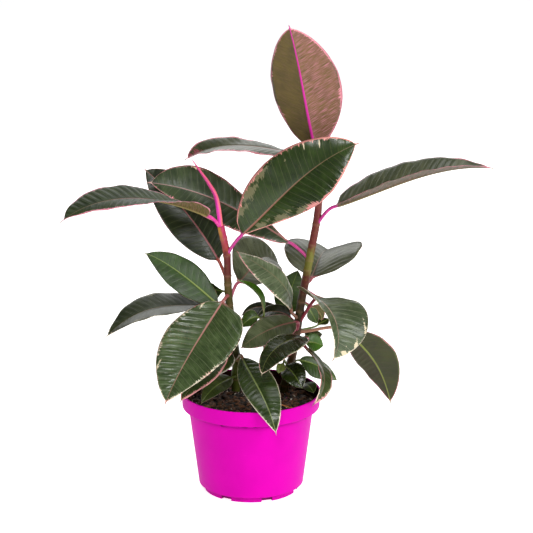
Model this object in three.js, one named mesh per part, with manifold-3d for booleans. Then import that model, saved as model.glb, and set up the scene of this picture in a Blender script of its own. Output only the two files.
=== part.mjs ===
// A potted rubber plant: two leafy stems and a young shoot in a round plastic nursery pot.
// Millimetres, +Z up, +X to the plant's right, -Y to the front. The origin is the middle of the
// pot's underside. Stem and leaf points are given from the middle of the rim plane, z up.
import * as THREE from "three";
import { mergeVertices } from "three/addons/utils/BufferGeometryUtils.js";
import Module from "manifold-3d";

const CLEARANCE = 0.3; // between pieces that touch
const AROUND = 48; // facets around the pot

// The pot: a tapered wall with a stiff collar below the rim and a foot with drain notches.
const POT = {
  height: 125,
  rimRadius: 85,
  wall: 2,
  collarHeight: 21,
  collarSlope: 2, // height of the sloping underside of the collar
  collarStep: 8, // how far the rim stands out from the wall below the collar
  collarTaper: 1, // how far the collar's upright band narrows from the rim down
  footRadius: 58,
  footHeight: 8,
  bodyFootRadius: 64, // the wall's outer radius just above the foot
  floor: 3,
  notches: 7,
  notchWidth: 14,
  notchHeight: 5,
  notchAngle: 20, // degrees, of the first one from the front towards +X
};

// The soil: a low dome, a finger's width below the rim.
const SOIL = { drop: 19, dome: 8 };

// The stems. Each runs on below the soil by `buried`.
const STEMS = {
  right: {
    foot: 5.5,
    tip: 4.2,
    buried: 60,
    path: [
      [39, 32, -16], [44, 31, 6], [50, 30, 31], [56, 30, 65], [61, 30, 99], [66, 30, 127],
      [73, 30, 167], [79, 30, 201], [82, 30, 228], [81, 30, 257], [77, 30, 287],
    ],
  },
  left: {
    foot: 5.4,
    tip: 4.2,
    buried: 60,
    path: [
      [-19, 28, -12], [-19, 26, 11], [-18, 22, 34], [-22, 17, 65], [-26, 12, 105],
      [-28, 10, 137], [-29, 10, 170], [-36, 8, 205],
    ],
  },
  shoot: {
    foot: 3,
    tip: 2,
    buried: 30,
    path: [[22, 18, -8], [20, 17, 22], [17, 17, 52], [15, 18, 89]],
  },
};

// The pointed sheath that wraps the next leaf bud at the top of the left stem.
const SHEATH = {
  on: "left",
  widths: [3.8, 3.4, 3, 2, 0.5],
  path: [[-41, 6, 240], [-50, 4, 259], [-61, 2, 276], [-70, 0, 290]],
};

const BLADE = { thick: 1.4, rib: 1.4 }; // rib: how far the midrib stands out below
const PETIOLE = { large: 2, small: 1.2, largeBlade: 70 }; // blades over largeBlade take the large one
const GROW = POT.rimRadius / 85; // the plant below is laid out for a rim radius of 85

// The leaves. from: the stem and the height at which the stalk leaves it; rib: four points along
// the midrib, base to tip; up: where the top face looks, and upTip where it looks at the tip of
// a twisted leaf; half: half widths left and right of the midrib, seen from above with the tip
// ahead; fold: degrees that each half tilts up from flat, at the base and then at the tip; peak:
// how far along each half is widest; full: lower is rounder; crown: the leaf goes on from the end
// of its stem.
const LEAVES = {
  top: {
    from: ["right", 287], crown: true, up: [1, 10, 1], half: [46, 44],
    fold: [10, 30], full: [0.66, 0.66],
    rib: [[78, 26, 295], [67, 20, 348], [57, 8, 402], [45, -8, 454]],
  },
  big_front: {
    from: ["left", 170], up: [0, -10, 4], half: [43, 38],
    fold: [6, 12], full: [0.62, 0.8], peak: [0.46, 0.62],
    rib: [[-12, 0, 195], [30, -8, 239], [75, -14, 282], [131, -14, 314]],
  },
  far_left: {
    from: ["left", 205], up: [0, 0, 10], half: [38, 34], fold: [44, 12, -30, 22],
    full: [1, 0.55], peak: [0.36, 0.66], curl: [-10, -8],
    rib: [[-49, 4, 218], [-103, -12, 241], [-166, -28, 247], [-226, -40, 222]],
  },
  back_left: {
    from: ["right", 157], up: [1, -8, 6], half: [28, 33],
    fold: [8, 8], full: [0.7, 0.66], peak: [0.5, 0.7],
    rib: [[50, 38, 175], [-10, 48, 211], [-67, 56, 235], [-128, 62, 246]],
  },
  upper_left: {
    from: ["right", 284], up: [0, 0, 10], half: [28, 24],
    fold: [-2, -6, 5, 34], full: [0.62, 0.5], peak: [0.5, 0.7],
    rib: [[69, 40, 283], [16, 60, 290], [-35, 72, 289], [-82, 74, 271]],
  },
  back_lower_left: {
    from: ["left", 133], up: [-3, -8, 5], half: [30, 36], fold: [8, 8],
    rib: [[-39, 34, 154], [-64, 52, 190], [-97, 74, 226], [-133, 92, 257]],
  },
  left_green: {
    from: ["left", 96], up: [2, -8, 6], half: [23, 21], fold: [8, 8], full: [0.8, 0.8],
    rib: [[-38, 8, 105], [-69, 14, 131], [-99, 18, 153], [-130, 20, 169]],
  },
  left_dark: {
    from: ["left", 120], up: [0, -9, 3], half: [16, 14], fold: [10, 70],
    rib: [[-33, 20, 120], [-41, 26, 120], [-51, 30, 122], [-62, 32, 126]],
  },
  left_grey: {
    from: ["left", 92], up: [0, 0, 10], half: [32, 31], fold: [4, 22],
    rib: [[-48, 28, 99], [-93, 22, 101], [-136, 10, 95], [-179, -2, 65]],
  },
  front_left: {
    from: ["left", 118], up: [-2, -9, 3], half: [50, 40],
    fold: [22, 8], full: [0.8, 0.7], peak: [0.3, 0.46],
    rib: [[-33, -2, 115], [-61, -30, 77], [-84, -52, 42], [-103, -66, 3]],
  },
  mid_back: {
    from: ["left", 109], up: [5, -4, 8], half: [36, 34], fold: [18, 18],
    rib: [[-16, 26, 129], [0, 60, 138], [16, 98, 141], [36, 128, 121]],
  },
  mid_droop: {
    from: ["right", 80], up: [6, -4, 6], half: [26, 17], fold: [0, 8],
    rib: [[49, 18, 97], [40, 2, 132], [14, 0, 156], [-18, 14, 173]],
  },
  right_back: {
    from: ["right", 124], up: [-1, -5, 8], half: [46, 58], fold: [26, 26], full: [0.52, 0.52],
    rib: [[74, 44, 129], [81, 68, 140], [89, 100, 146], [98, 134, 140]],
  },
  right_long: {
    from: ["right", 202], up: [0, 0, 10], half: [38, 38], fold: [30, 25], peak: [0.36, 0.48],
    rib: [[101, 22, 226], [163, 14, 251], [225, 6, 273], [291, 0, 279]],
  },
  right_front: {
    from: ["right", 74], up: [-3, 1, 10], upTip: [5, -8, 4], half: [44, 38],
    fold: [-9, 50, 14, 58], full: [0.62, 0.5], peak: [0.52, 0.3],
    rib: [[79, 14, 112], [92, -20, 112], [104, -46, 92], [98, -50, 53]],
  },
  right_hanging: {
    from: ["right", 64], up: [4, 9, 0], half: [24, 30], fold: [8, 14],
    rib: [[118, 36, 64], [142, 48, 36], [161, 58, 4], [175, 66, -42]],
  },
  inner_green: {
    from: ["right", 101], up: [2, -9, 4], half: [8, 8], fold: [10, 10],
    rib: [[70, 44, 93], [74, 48, 85], [78, 50, 77], [81, 50, 69]],
  },
  inner_olive: {
    from: ["right", 103], up: [-2, 9, 2], half: [9, 9], fold: [10, 10],
    rib: [[72, 54, 92], [79, 60, 85], [85, 64, 78], [87, 64, 68]],
  },
  inner_dark: {
    from: ["right", 66], up: [0, -6, 8], half: [7, 7], fold: [10, 10],
    rib: [[82, 60, 64], [87, 70, 64], [92, 76, 65], [97, 80, 67]],
  },
  center_back: {
    from: ["right", 51], up: [0, -9, 4], half: [19, 19], fold: [10, 10],
    rib: [[44, 74, 69], [46, 80, 90], [51, 84, 108], [59, 88, 129]],
  },
  center_dark: {
    from: ["right", 66], up: [0, -5, 8], half: [22, 9], fold: [10, 10],
    rib: [[39, 58, 82], [21, 66, 85], [3, 72, 83], [-13, 76, 71]],
  },
  center_mid: {
    from: ["right", 74], up: [0, -4, 9], half: [18, 13], fold: [10, 10],
    rib: [[49, 40, 80], [39, 43, 85], [23, 46, 86], [6, 48, 76]],
  },
  center_green: {
    from: ["shoot", 77], up: [-2, -8, 6], half: [11, 11], fold: [10, 10],
    rib: [[10, 15, 88], [4, 13, 89], [-4, 12, 85], [-13, 12, 76]],
  },
  young_narrow: {
    from: ["shoot", 85], up: [6, -5, 6], half: [7, 7], fold: [30, 30], full: [1, 1],
    rib: [[16, 14, 93], [12, 8, 114], [0, 2, 131], [-20, -2, 141]],
  },
  center_grey: {
    from: ["right", 65], up: [-2, -6, 8], half: [23, 19], fold: [0, 14],
    rib: [[56, 18, 81], [35, 4, 81], [10, -8, 73], [-13, -14, 57]],
  },
  center_front: {
    from: ["right", 46], up: [-1, -4, 9], half: [24, 15], fold: [6, 10],
    rib: [[68, 2, 66], [45, -28, 72], [24, -46, 61], [13, -56, 36]],
  },
  front_hanging: {
    from: ["left", 29], up: [0, -8, 6], half: [23, 19], fold: [6, 6], full: [0.8, 0.8],
    rib: [[-11, 2, 42], [2, -38, 29], [18, -80, 11], [31, -100, -24]],
  },
  low_left: {
    from: ["left", 7], up: [-1, -7, 7], half: [13, 13], fold: [10, 10], full: [0.85, 0.85],
    rib: [[-21, 14, 12], [-35, -2, 11], [-49, -16, 4], [-61, -24, -11]],
  },
  left_rim: {
    from: ["left", 64], up: [-1, -7, 7], half: [15, 19], fold: [10, 10], full: [0.8, 0.8],
    rib: [[-27, 6, 54], [-46, -14, 35], [-66, -38, 22], [-86, -56, 2]],
  },
  left_inner: {
    from: ["left", 52], up: [-2, -8, 5], half: [12, 12], fold: [10, 10],
    rib: [[-23, 14, 45], [-29, 8, 38], [-37, 2, 29], [-45, -4, 18]],
  },
  low_right: {
    from: ["right", 6], up: [0, -8, 6], half: [15, 15], fold: [10, 10],
    rib: [[40, 16, 26], [49, 2, 24], [56, -8, 17], [63, -14, 6]],
  },
  right_rim: {
    from: ["right", 20], up: [0, -8, 6], half: [9, 17], fold: [10, 10],
    rib: [[58, 38, 26], [73, 46, 20], [90, 50, 10], [108, 50, -6]],
  },
  right_drape: {
    from: ["right", 44], up: [8, -3, 5], half: [16, 12], fold: [10, 10], full: [0.8, 0.8],
    rib: [[66, 22, 49], [83, 2, 35], [89, -32, 21], [74, -62, 0]],
  },
  low_sliver: {
    from: ["right", 6], up: [0, -3, 9], half: [10, 10], fold: [10, 10],
    rib: [[64, 14, 3], [69, 8, 4], [73, 2, 2], [77, -4, -3]],
  },
  low_pale: {
    from: ["right", 15], up: [0, -9, 3], half: [6, 6], fold: [10, 10], full: [0.9, 0.9],
    rib: [[40, 7, 34], [38, 0, 31], [35, -6, 28], [34, -8, 23]],
  },
  inner_low_dark: {
    from: ["right", 47], up: [0, -3, 9], half: [12, 12], fold: [10, 10],
    rib: [[65, 46, 53], [73, 52, 54], [80, 58, 54], [89, 64, 51]],
  },
  inner_low_bright: {
    from: ["right", 38], up: [0, -8, 5], half: [12, 12], fold: [10, 10],
    rib: [[64, 32, 51], [73, 36, 50], [81, 40, 47], [90, 44, 42]],
  },
  behind_high: {
    from: ["right", 242], up: [0, 0, 10], half: [26, 26], fold: [8, 8],
    rib: [[73, 48, 240], [60, 78, 240], [47, 112, 237], [32, 146, 225]],
  },
  behind_left: {
    from: ["left", 80], up: [-2, -2, 10], half: [24, 24], fold: [6, 6],
    rib: [[-37, 42, 77], [-53, 62, 76], [-71, 98, 59], [-88, 130, 36]],
  },
  behind_right: {
    from: ["right", 119], up: [1, 0, 10], half: [24, 24], fold: [6, 6],
    rib: [[75, 56, 106], [92, 88, 90], [109, 120, 74], [125, 148, 52]],
  },
};

const COLOURS = {
  pot: 0xf01ac8,
  soil: 0x2e2119,
  bark: 0x7a4a38,
  sheath: 0xd9559a,
  leaf: 0x3d5a3a,
};

const wasm = await Module();
wasm.setup();

const material = (color, roughness) =>
  new THREE.MeshStandardMaterial({ color, roughness, metalness: 0 });

const named = (name, geometry, look) => {
  const mesh = new THREE.Mesh(geometry, look);
  mesh.name = name;
  return mesh;
};

const grown = (p) => new THREE.Vector3(...p).multiplyScalar(GROW);

// Manifold solids from geometries, and back.
function solid(geometry) {
  const bare = geometry.clone();
  bare.deleteAttribute("normal");
  bare.deleteAttribute("uv");
  const merged = mergeVertices(bare, 1e-3);
  return new wasm.Manifold(
    new wasm.Mesh({
      numProp: 3,
      vertProperties: merged.attributes.position.array,
      triVerts: new Uint32Array(merged.index.array),
    }),
  );
}

function geometryOf(body) {
  const mesh = body.getMesh();
  const geometry = new THREE.BufferGeometry();
  geometry.setAttribute("position", new THREE.BufferAttribute(mesh.vertProperties, 3));
  geometry.setIndex(new THREE.BufferAttribute(mesh.triVerts, 1));
  return geometry;
}

function signedVolume(points, faces) {
  let six = 0;
  const normal = new THREE.Vector3();
  for (let i = 0; i < faces.length; i += 3) {
    const [a, b, c] = [points[faces[i]], points[faces[i + 1]], points[faces[i + 2]]];
    six += a.dot(normal.crossVectors(b, c));
  }
  return six / 6;
}

// A closed skin over rings of points, with a flat cap on each end.
function skin(rings) {
  const points = rings.flat();
  const count = rings[0].length;
  const faces = [];
  for (let r = 0; r + 1 < rings.length; r += 1) {
    for (let i = 0; i < count; i += 1) {
      const next = (i + 1) % count;
      const [a, b] = [r * count + i, r * count + next];
      faces.push(a, b, b + count, a, b + count, a + count);
    }
  }
  const last = (rings.length - 1) * count;
  for (let i = 1; i + 1 < count; i += 1) {
    faces.push(0, i + 1, i, last, last + i, last + i + 1);
  }
  if (signedVolume(points, faces) < 0) faces.reverse();
  const geometry = new THREE.BufferGeometry();
  geometry.setAttribute(
    "position",
    new THREE.Float32BufferAttribute(points.flatMap((p) => p.toArray()), 3),
  );
  geometry.setIndex(faces);
  return geometry;
}

// A ring of points around a centre, square to a direction, starting on the given side.
function circle(centre, across, above, radius, sides) {
  const ring = [];
  for (let i = 0; i < sides; i += 1) {
    const turn = Math.PI - (i * 2 * Math.PI) / sides;
    ring.push(
      centre
        .clone()
        .addScaledVector(across, radius * Math.cos(turn))
        .addScaledVector(above, radius * Math.sin(turn)),
    );
  }
  return ring;
}

// Two unit vectors square to a direction, the second one nearest to `up`.
function axes(direction, up) {
  const above = up.clone().addScaledVector(direction, -up.dot(direction)).normalize();
  return [new THREE.Vector3().crossVectors(direction, above), above];
}

// A round rod through points, with its own radius at each of them.
function rod(path, radii, sides) {
  const up = new THREE.Vector3(0, -1, 0);
  return skin(
    path.map((point, i) => {
      const before = path[Math.max(i - 1, 0)];
      const after = path[Math.min(i + 1, path.length - 1)];
      const [across, above] = axes(after.clone().sub(before).normalize(), up);
      return circle(point, across, above, radii[i], sides);
    }),
  );
}

// A stem's points and radii, from its buried end to its top.
function stemShape(stem) {
  const path = stem.path.map(grown);
  const down = path[0].clone().sub(path[1]).normalize();
  path.unshift(path[0].clone().addScaledVector(down, stem.buried));
  const radii = path.map((point, i) => {
    const along = Math.max(i - 1, 0) / (path.length - 2);
    return stem.foot + (stem.tip - stem.foot) * along;
  });
  return { path, radii };
}

// Where a stem is at a height, and how thick it is there.
function stemAt(stem, height) {
  const { path, radii } = stemShape(stem);
  let i = 1;
  while (i + 2 < path.length && path[i + 1].z < height) i += 1;
  const share = THREE.MathUtils.clamp((height - path[i].z) / (path[i + 1].z - path[i].z), 0, 1);
  return {
    point: path[i].clone().lerp(path[i + 1], share),
    direction: path[i + 1].clone().sub(path[i]).normalize(),
    radius: THREE.MathUtils.lerp(radii[i], radii[i + 1], share),
  };
}

// The cubic curve that passes through four points at even steps.
function through(points) {
  const [a, b, c, d] = points;
  const mix = (k) =>
    new THREE.Vector3()
      .addScaledVector(a, k[0])
      .addScaledVector(b, k[1])
      .addScaledVector(c, k[2])
      .addScaledVector(d, k[3]);
  return new THREE.CubicBezierCurve3(
    a,
    mix([-5 / 6, 3, -3 / 2, 1 / 3]),
    mix([1 / 3, -3 / 2, 3, -5 / 6]),
    d,
  );
}

// A blade's half width at a share of its length: rounded, widest at `peak`, with a drip tip.
function outline(u, peak, full) {
  const t = Math.min(Math.max(u / 0.965, 0), 1);
  const round = Math.sin(Math.PI * t ** (Math.log(0.5) / Math.log(peak))) ** full;
  const drip = u > 0.5 ? 0.08 * Math.min((1 - u) / 0.1, 1) : 0;
  return (Math.max(round, 0) ** 4 + drip ** 4) ** 0.25;
}

// Where a leaf's top face looks at u along its midrib; upTip twists it on the way to the tip.
function lookAt(leaf, u) {
  return new THREE.Vector3(...leaf.up).lerp(new THREE.Vector3(...(leaf.upTip ?? leaf.up)), u);
}

// A point of the blade's middle surface, at u along the midrib and v across, -1 to 1.
function bladePoint(leaf, curve, u, v) {
  const side = v < 0 ? 0 : 1;
  const direction = curve.getTangent(u);
  const [across, above] = axes(direction, lookAt(leaf, u));
  const peak = (leaf.peak ?? [0.48, 0.48])[side];
  const full = (leaf.full ?? [0.72, 0.72])[side];
  const width = GROW * leaf.half[side] * outline(u, peak, full);
  const foldEnd = leaf.fold[side + 2] ?? leaf.fold[side];
  const fold = THREE.MathUtils.degToRad(THREE.MathUtils.lerp(leaf.fold[side], foldEnd, u));
  const curl = THREE.MathUtils.degToRad((leaf.curl ?? [-8, -8])[side]);
  const s = Math.abs(v);
  const out = (Math.sin(fold + curl * s) - Math.sin(fold)) / curl;
  const rise = (Math.cos(fold) - Math.cos(fold + curl * s)) / curl;
  return curve
    .getPoint(u)
    .addScaledVector(across, Math.sign(v) * width * out)
    .addScaledVector(above, width * rise);
}

// The eight points around the blade at u: edge, three on top, edge, three below.
function bladeRing(leaf, curve, u) {
  const [, above] = axes(curve.getTangent(u), lookAt(leaf, u));
  const thick = BLADE.thick * (1 - 0.5 * u);
  const rib = BLADE.rib * (1 - 0.8 * u);
  const at = (v, lift) => bladePoint(leaf, curve, u, v).addScaledVector(above, lift);
  return [
    at(-1, 0),
    at(-0.5, thick / 2),
    at(0, thick / 2),
    at(0.5, thick / 2),
    at(1, 0),
    at(0.5, -thick / 2),
    at(0, -thick / 2 - rib),
    at(-0.5, -thick / 2),
  ];
}

// A leaf: the round stalk, from just off its stem, running on into the blade.
function leafGeometry(leaf) {
  const curve = through(leaf.rib.map(grown));
  const long = curve.getLength();
  const large = long > PETIOLE.largeBlade * GROW;
  const thin = large ? PETIOLE.large : PETIOLE.small;
  const [stemName, height] = leaf.from;
  const joint = stemAt(STEMS[stemName], height * GROW);
  const base = curve.getPoint(0);
  const ahead = base.clone().sub(joint.point).normalize();
  const steep = Math.abs(ahead.dot(joint.direction));
  const level = Math.max(Math.sqrt(1 - steep * steep), 0.3);
  let off = (joint.radius + CLEARANCE + thin * steep) / level;
  if (leaf.crown) {
    ahead.copy(joint.direction);
    off = CLEARANCE;
  }
  const start = joint.point.clone().addScaledVector(ahead, off);
  const run = base.distanceTo(start) / 3;
  const stalk = new THREE.CubicBezierCurve3(
    start,
    start.clone().addScaledVector(ahead, run),
    base.clone().addScaledVector(curve.getTangent(0), -run),
    base,
  );
  // The stalk's rings turn as little as they can, from the blade back to the stem.
  let above = lookAt(leaf, 0);
  const rings = (large ? [1, 0.75, 0.5, 0.25, 0] : [1, 0.5, 0]).map((t) => {
    let across;
    [across, above] = axes(stalk.getTangent(t), above);
    return circle(stalk.getPoint(t), across, above, thin, 8);
  });
  rings.reverse();
  const steps = large ? 9 : 5;
  for (let i = 1; i <= steps; i += 1) {
    const u = Math.min((i - 0.35) / (steps - 0.35), 0.985);
    rings.push(bladeRing(leaf, curve, u));
  }
  return skin(rings);
}

// The pot's outer wall radius at a height between the foot and the collar.
function wallRadius(z) {
  const top = POT.height - POT.collarHeight;
  const share = (z - POT.footHeight) / (top - POT.footHeight);
  return THREE.MathUtils.lerp(POT.bodyFootRadius, POT.rimRadius - POT.collarStep, share);
}

// The pot's inner radius at a height, from its foot up the wall and out under the collar.
function innerRadius(z) {
  const step = POT.height - POT.collarHeight;
  if (z < step) return wallRadius(z) - POT.wall;
  const share = Math.min((z - step) / POT.collarSlope, 1);
  return wallRadius(step) - POT.wall + (POT.collarStep - POT.collarTaper) * share;
}

function potGeometry() {
  const { height, rimRadius, wall, footRadius, footHeight, bodyFootRadius, floor } = POT;
  const step = height - POT.collarHeight;
  const neck = rimRadius - POT.collarStep;
  const band = rimRadius - POT.collarTaper;
  const profile = [
    [0, 0],
    [footRadius, 0],
    [footRadius, footHeight],
    [bodyFootRadius, footHeight],
    [neck - 0.7, step],
    [neck, step],
    [band, step + POT.collarSlope],
    [rimRadius, height - 1],
    [rimRadius - 1, height],
    [rimRadius - wall, height - 1],
    [band - wall, step + POT.collarSlope],
    [neck - wall, step],
    [wallRadius(footHeight + wall) - wall, footHeight + wall],
    [footRadius - wall, footHeight],
    [footRadius - wall, floor],
    [0, floor],
  ].map(([r, z]) => new THREE.Vector2(r, z));
  const lathe = new THREE.LatheGeometry(profile, AROUND);
  let body = solid(lathe.rotateX(Math.PI / 2));
  for (let i = 0; i < POT.notches; i += 1) {
    const turn = THREE.MathUtils.degToRad(POT.notchAngle + (i * 360) / POT.notches);
    const cutter = new THREE.BoxGeometry(POT.notchWidth, 12, 2 * POT.notchHeight);
    cutter.translate(0, -footRadius, 0).rotateZ(turn);
    body = body.subtract(solid(cutter));
  }
  return geometryOf(body);
}

function soilGeometry() {
  const { height, wall, footRadius, footHeight, floor } = POT;
  const gap = wall + CLEARANCE;
  const edge = height - SOIL.drop;
  const step = Math.min(edge, height - POT.collarHeight);
  const radius = innerRadius(edge) - CLEARANCE;
  const profile = [
    [0, floor + CLEARANCE],
    [footRadius - gap, floor + CLEARANCE],
    [footRadius - gap, footHeight + CLEARANCE],
    [wallRadius(footHeight + gap) - gap, footHeight + gap],
    [innerRadius(step) - CLEARANCE, step],
    [radius, edge],
    [radius * 0.8, edge + SOIL.dome * 0.5],
    [radius * 0.4, edge + SOIL.dome * 0.9],
    [0, edge + SOIL.dome],
  ].map(([r, z]) => new THREE.Vector2(r, z));
  let body = solid(new THREE.LatheGeometry(profile, AROUND).rotateX(Math.PI / 2));
  for (const stem of Object.values(STEMS)) {
    const { path, radii } = stemShape(stem);
    const down = path[0].clone().sub(path[1]).normalize();
    path[0].addScaledVector(down, CLEARANCE);
    const hole = rod(path, radii.map((r) => r + CLEARANCE), 12);
    body = body.subtract(solid(hole.translate(0, 0, height)));
  }
  return geometryOf(body);
}

const plant = new THREE.Group();
plant.position.z = POT.height;
for (const [name, stem] of Object.entries(STEMS)) {
  const { path, radii } = stemShape(stem);
  plant.add(named("stem_" + name, rod(path, radii, 12), material(COLOURS.bark, 0.6)));
}
const bud = stemAt(STEMS[SHEATH.on], Infinity);
const budPath = [
  bud.point.clone().addScaledVector(bud.direction, CLEARANCE),
  ...SHEATH.path.map(grown),
];
plant.add(named("bud_sheath", rod(budPath, SHEATH.widths, 10), material(COLOURS.sheath, 0.4)));
for (const [name, leaf] of Object.entries(LEAVES)) {
  plant.add(named("leaf_" + name, leafGeometry(leaf), material(COLOURS.leaf, 0.35)));
}

const root = new THREE.Group();
root.add(named("pot", potGeometry(), material(COLOURS.pot, 0.4)));
root.add(named("soil", soilGeometry(), material(COLOURS.soil, 0.95)));
root.add(plant);

export default root;
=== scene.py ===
"""A potted rubber plant: two leafy stems and a young shoot in a magenta nursery pot.

Works in millimetres, z up, with the plant's heights counted from the pot's rim. piece() turns
them into metres above the ground.
"""

import math
import random

import bpy
import numpy as np
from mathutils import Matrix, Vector, noise


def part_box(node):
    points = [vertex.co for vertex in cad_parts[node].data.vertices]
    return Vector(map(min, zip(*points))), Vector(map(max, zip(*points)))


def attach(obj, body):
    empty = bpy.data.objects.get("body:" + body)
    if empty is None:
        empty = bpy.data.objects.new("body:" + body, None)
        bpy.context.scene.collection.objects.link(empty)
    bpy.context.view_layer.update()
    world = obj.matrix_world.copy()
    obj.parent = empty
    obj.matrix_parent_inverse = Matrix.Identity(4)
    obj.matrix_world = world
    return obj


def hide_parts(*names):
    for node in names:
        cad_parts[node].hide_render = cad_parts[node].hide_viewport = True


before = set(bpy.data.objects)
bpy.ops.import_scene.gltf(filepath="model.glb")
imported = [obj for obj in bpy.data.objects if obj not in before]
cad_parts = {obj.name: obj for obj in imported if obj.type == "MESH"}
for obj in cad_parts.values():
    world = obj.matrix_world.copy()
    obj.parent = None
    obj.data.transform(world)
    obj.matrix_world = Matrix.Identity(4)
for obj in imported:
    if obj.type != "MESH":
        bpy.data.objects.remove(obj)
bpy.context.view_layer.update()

MM = 0.001
POT_LOW, POT_HIGH = (np.array(corner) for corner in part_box("pot"))
RIM_Z = POT_HIGH[2] / MM
RIM_RADIUS = (POT_HIGH[0] - POT_LOW[0]) / 2 / MM
GROW = RIM_RADIUS / 85

# The pot, as in the CAD model. Its foot is a round step with drain notches cut into it.
POT = dict(
    wall=2,
    collar=21,
    collar_slope=2,
    collar_step=8,
    collar_taper=1,
    foot_radius=58,
    foot_height=8,
    body_foot_radius=64,
    floor=3,
    notches=7,
    notch_width=14,
    notch_height=5,
    notch_angle=20,
)
SOIL_DROP = 19  # from the rim down to the soil's edge
SOIL_DOME = 8  # how far its middle stands above its edge
SOIL_GAP = 0.4  # between the soil and the pot

# The stems: radii at the foot and the top, the length below the soil, and points up the middle.
STEMS = {
    "right": dict(
        foot=5.5,
        tip=4.2,
        buried=60,
        path=(
            (39, 32, -16), (44, 31, 6), (50, 30, 31), (56, 30, 65), (61, 30, 99),
            (66, 30, 127), (73, 30, 167), (79, 30, 201), (82, 30, 228), (81, 30, 257),
            (77, 30, 287),
        ),
        # height and colour, from the foot up; the near-black colours at 90 and 110 mm are painted
        # shade, where the stem stands in shadow
        bark=(
            (-20, "3e3816"), (20, "4e461d"), (45, "532419"), (90, "2c280c"), (110, "38220f"),
            (132, "551f19"), (146, "686424"), (165, "6b6a29"), (176, "5f2420"), (215, "6c2b28"),
            (240, "783839"), (270, "7d3f42"), (287, "814c45"),
        ),
    ),
    "left": dict(
        foot=5.4,
        tip=4.2,
        buried=60,
        sunny=(180, 200),
        path=(
            (-19, 28, -12), (-19, 26, 11), (-18, 22, 34), (-22, 17, 65), (-26, 12, 105),
            (-28, 10, 137), (-29, 10, 170), (-36, 8, 205),
        ),
        bark=(
            (-14, "424a1a"), (10, "505c1d"), (40, "383a11"), (80, "3c3610"), (108, "413d11"),
            (136, "4d3d13"), (143, "562019"), (168, "5f1d21"), (174, "8c3c28"), (190, "9c2a4a"),
            (205, "ab2456"),
        ),
    ),
    "shoot": dict(
        foot=3,
        tip=2,
        buried=30,
        path=((22, 18, -8), (20, 17, 22), (17, 17, 52), (15, 18, 89)),
        bark=((-8, "3f4a18"), (40, "4e5f1f"), (89, "5d7124")),
    ),
}
SHEATH = dict(
    on="left",
    widths=(3.8, 3.4, 3, 2, 0.5),
    path=((-41, 6, 240), (-50, 4, 259), (-61, 2, 276), (-70, 0, 290)),
)

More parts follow.
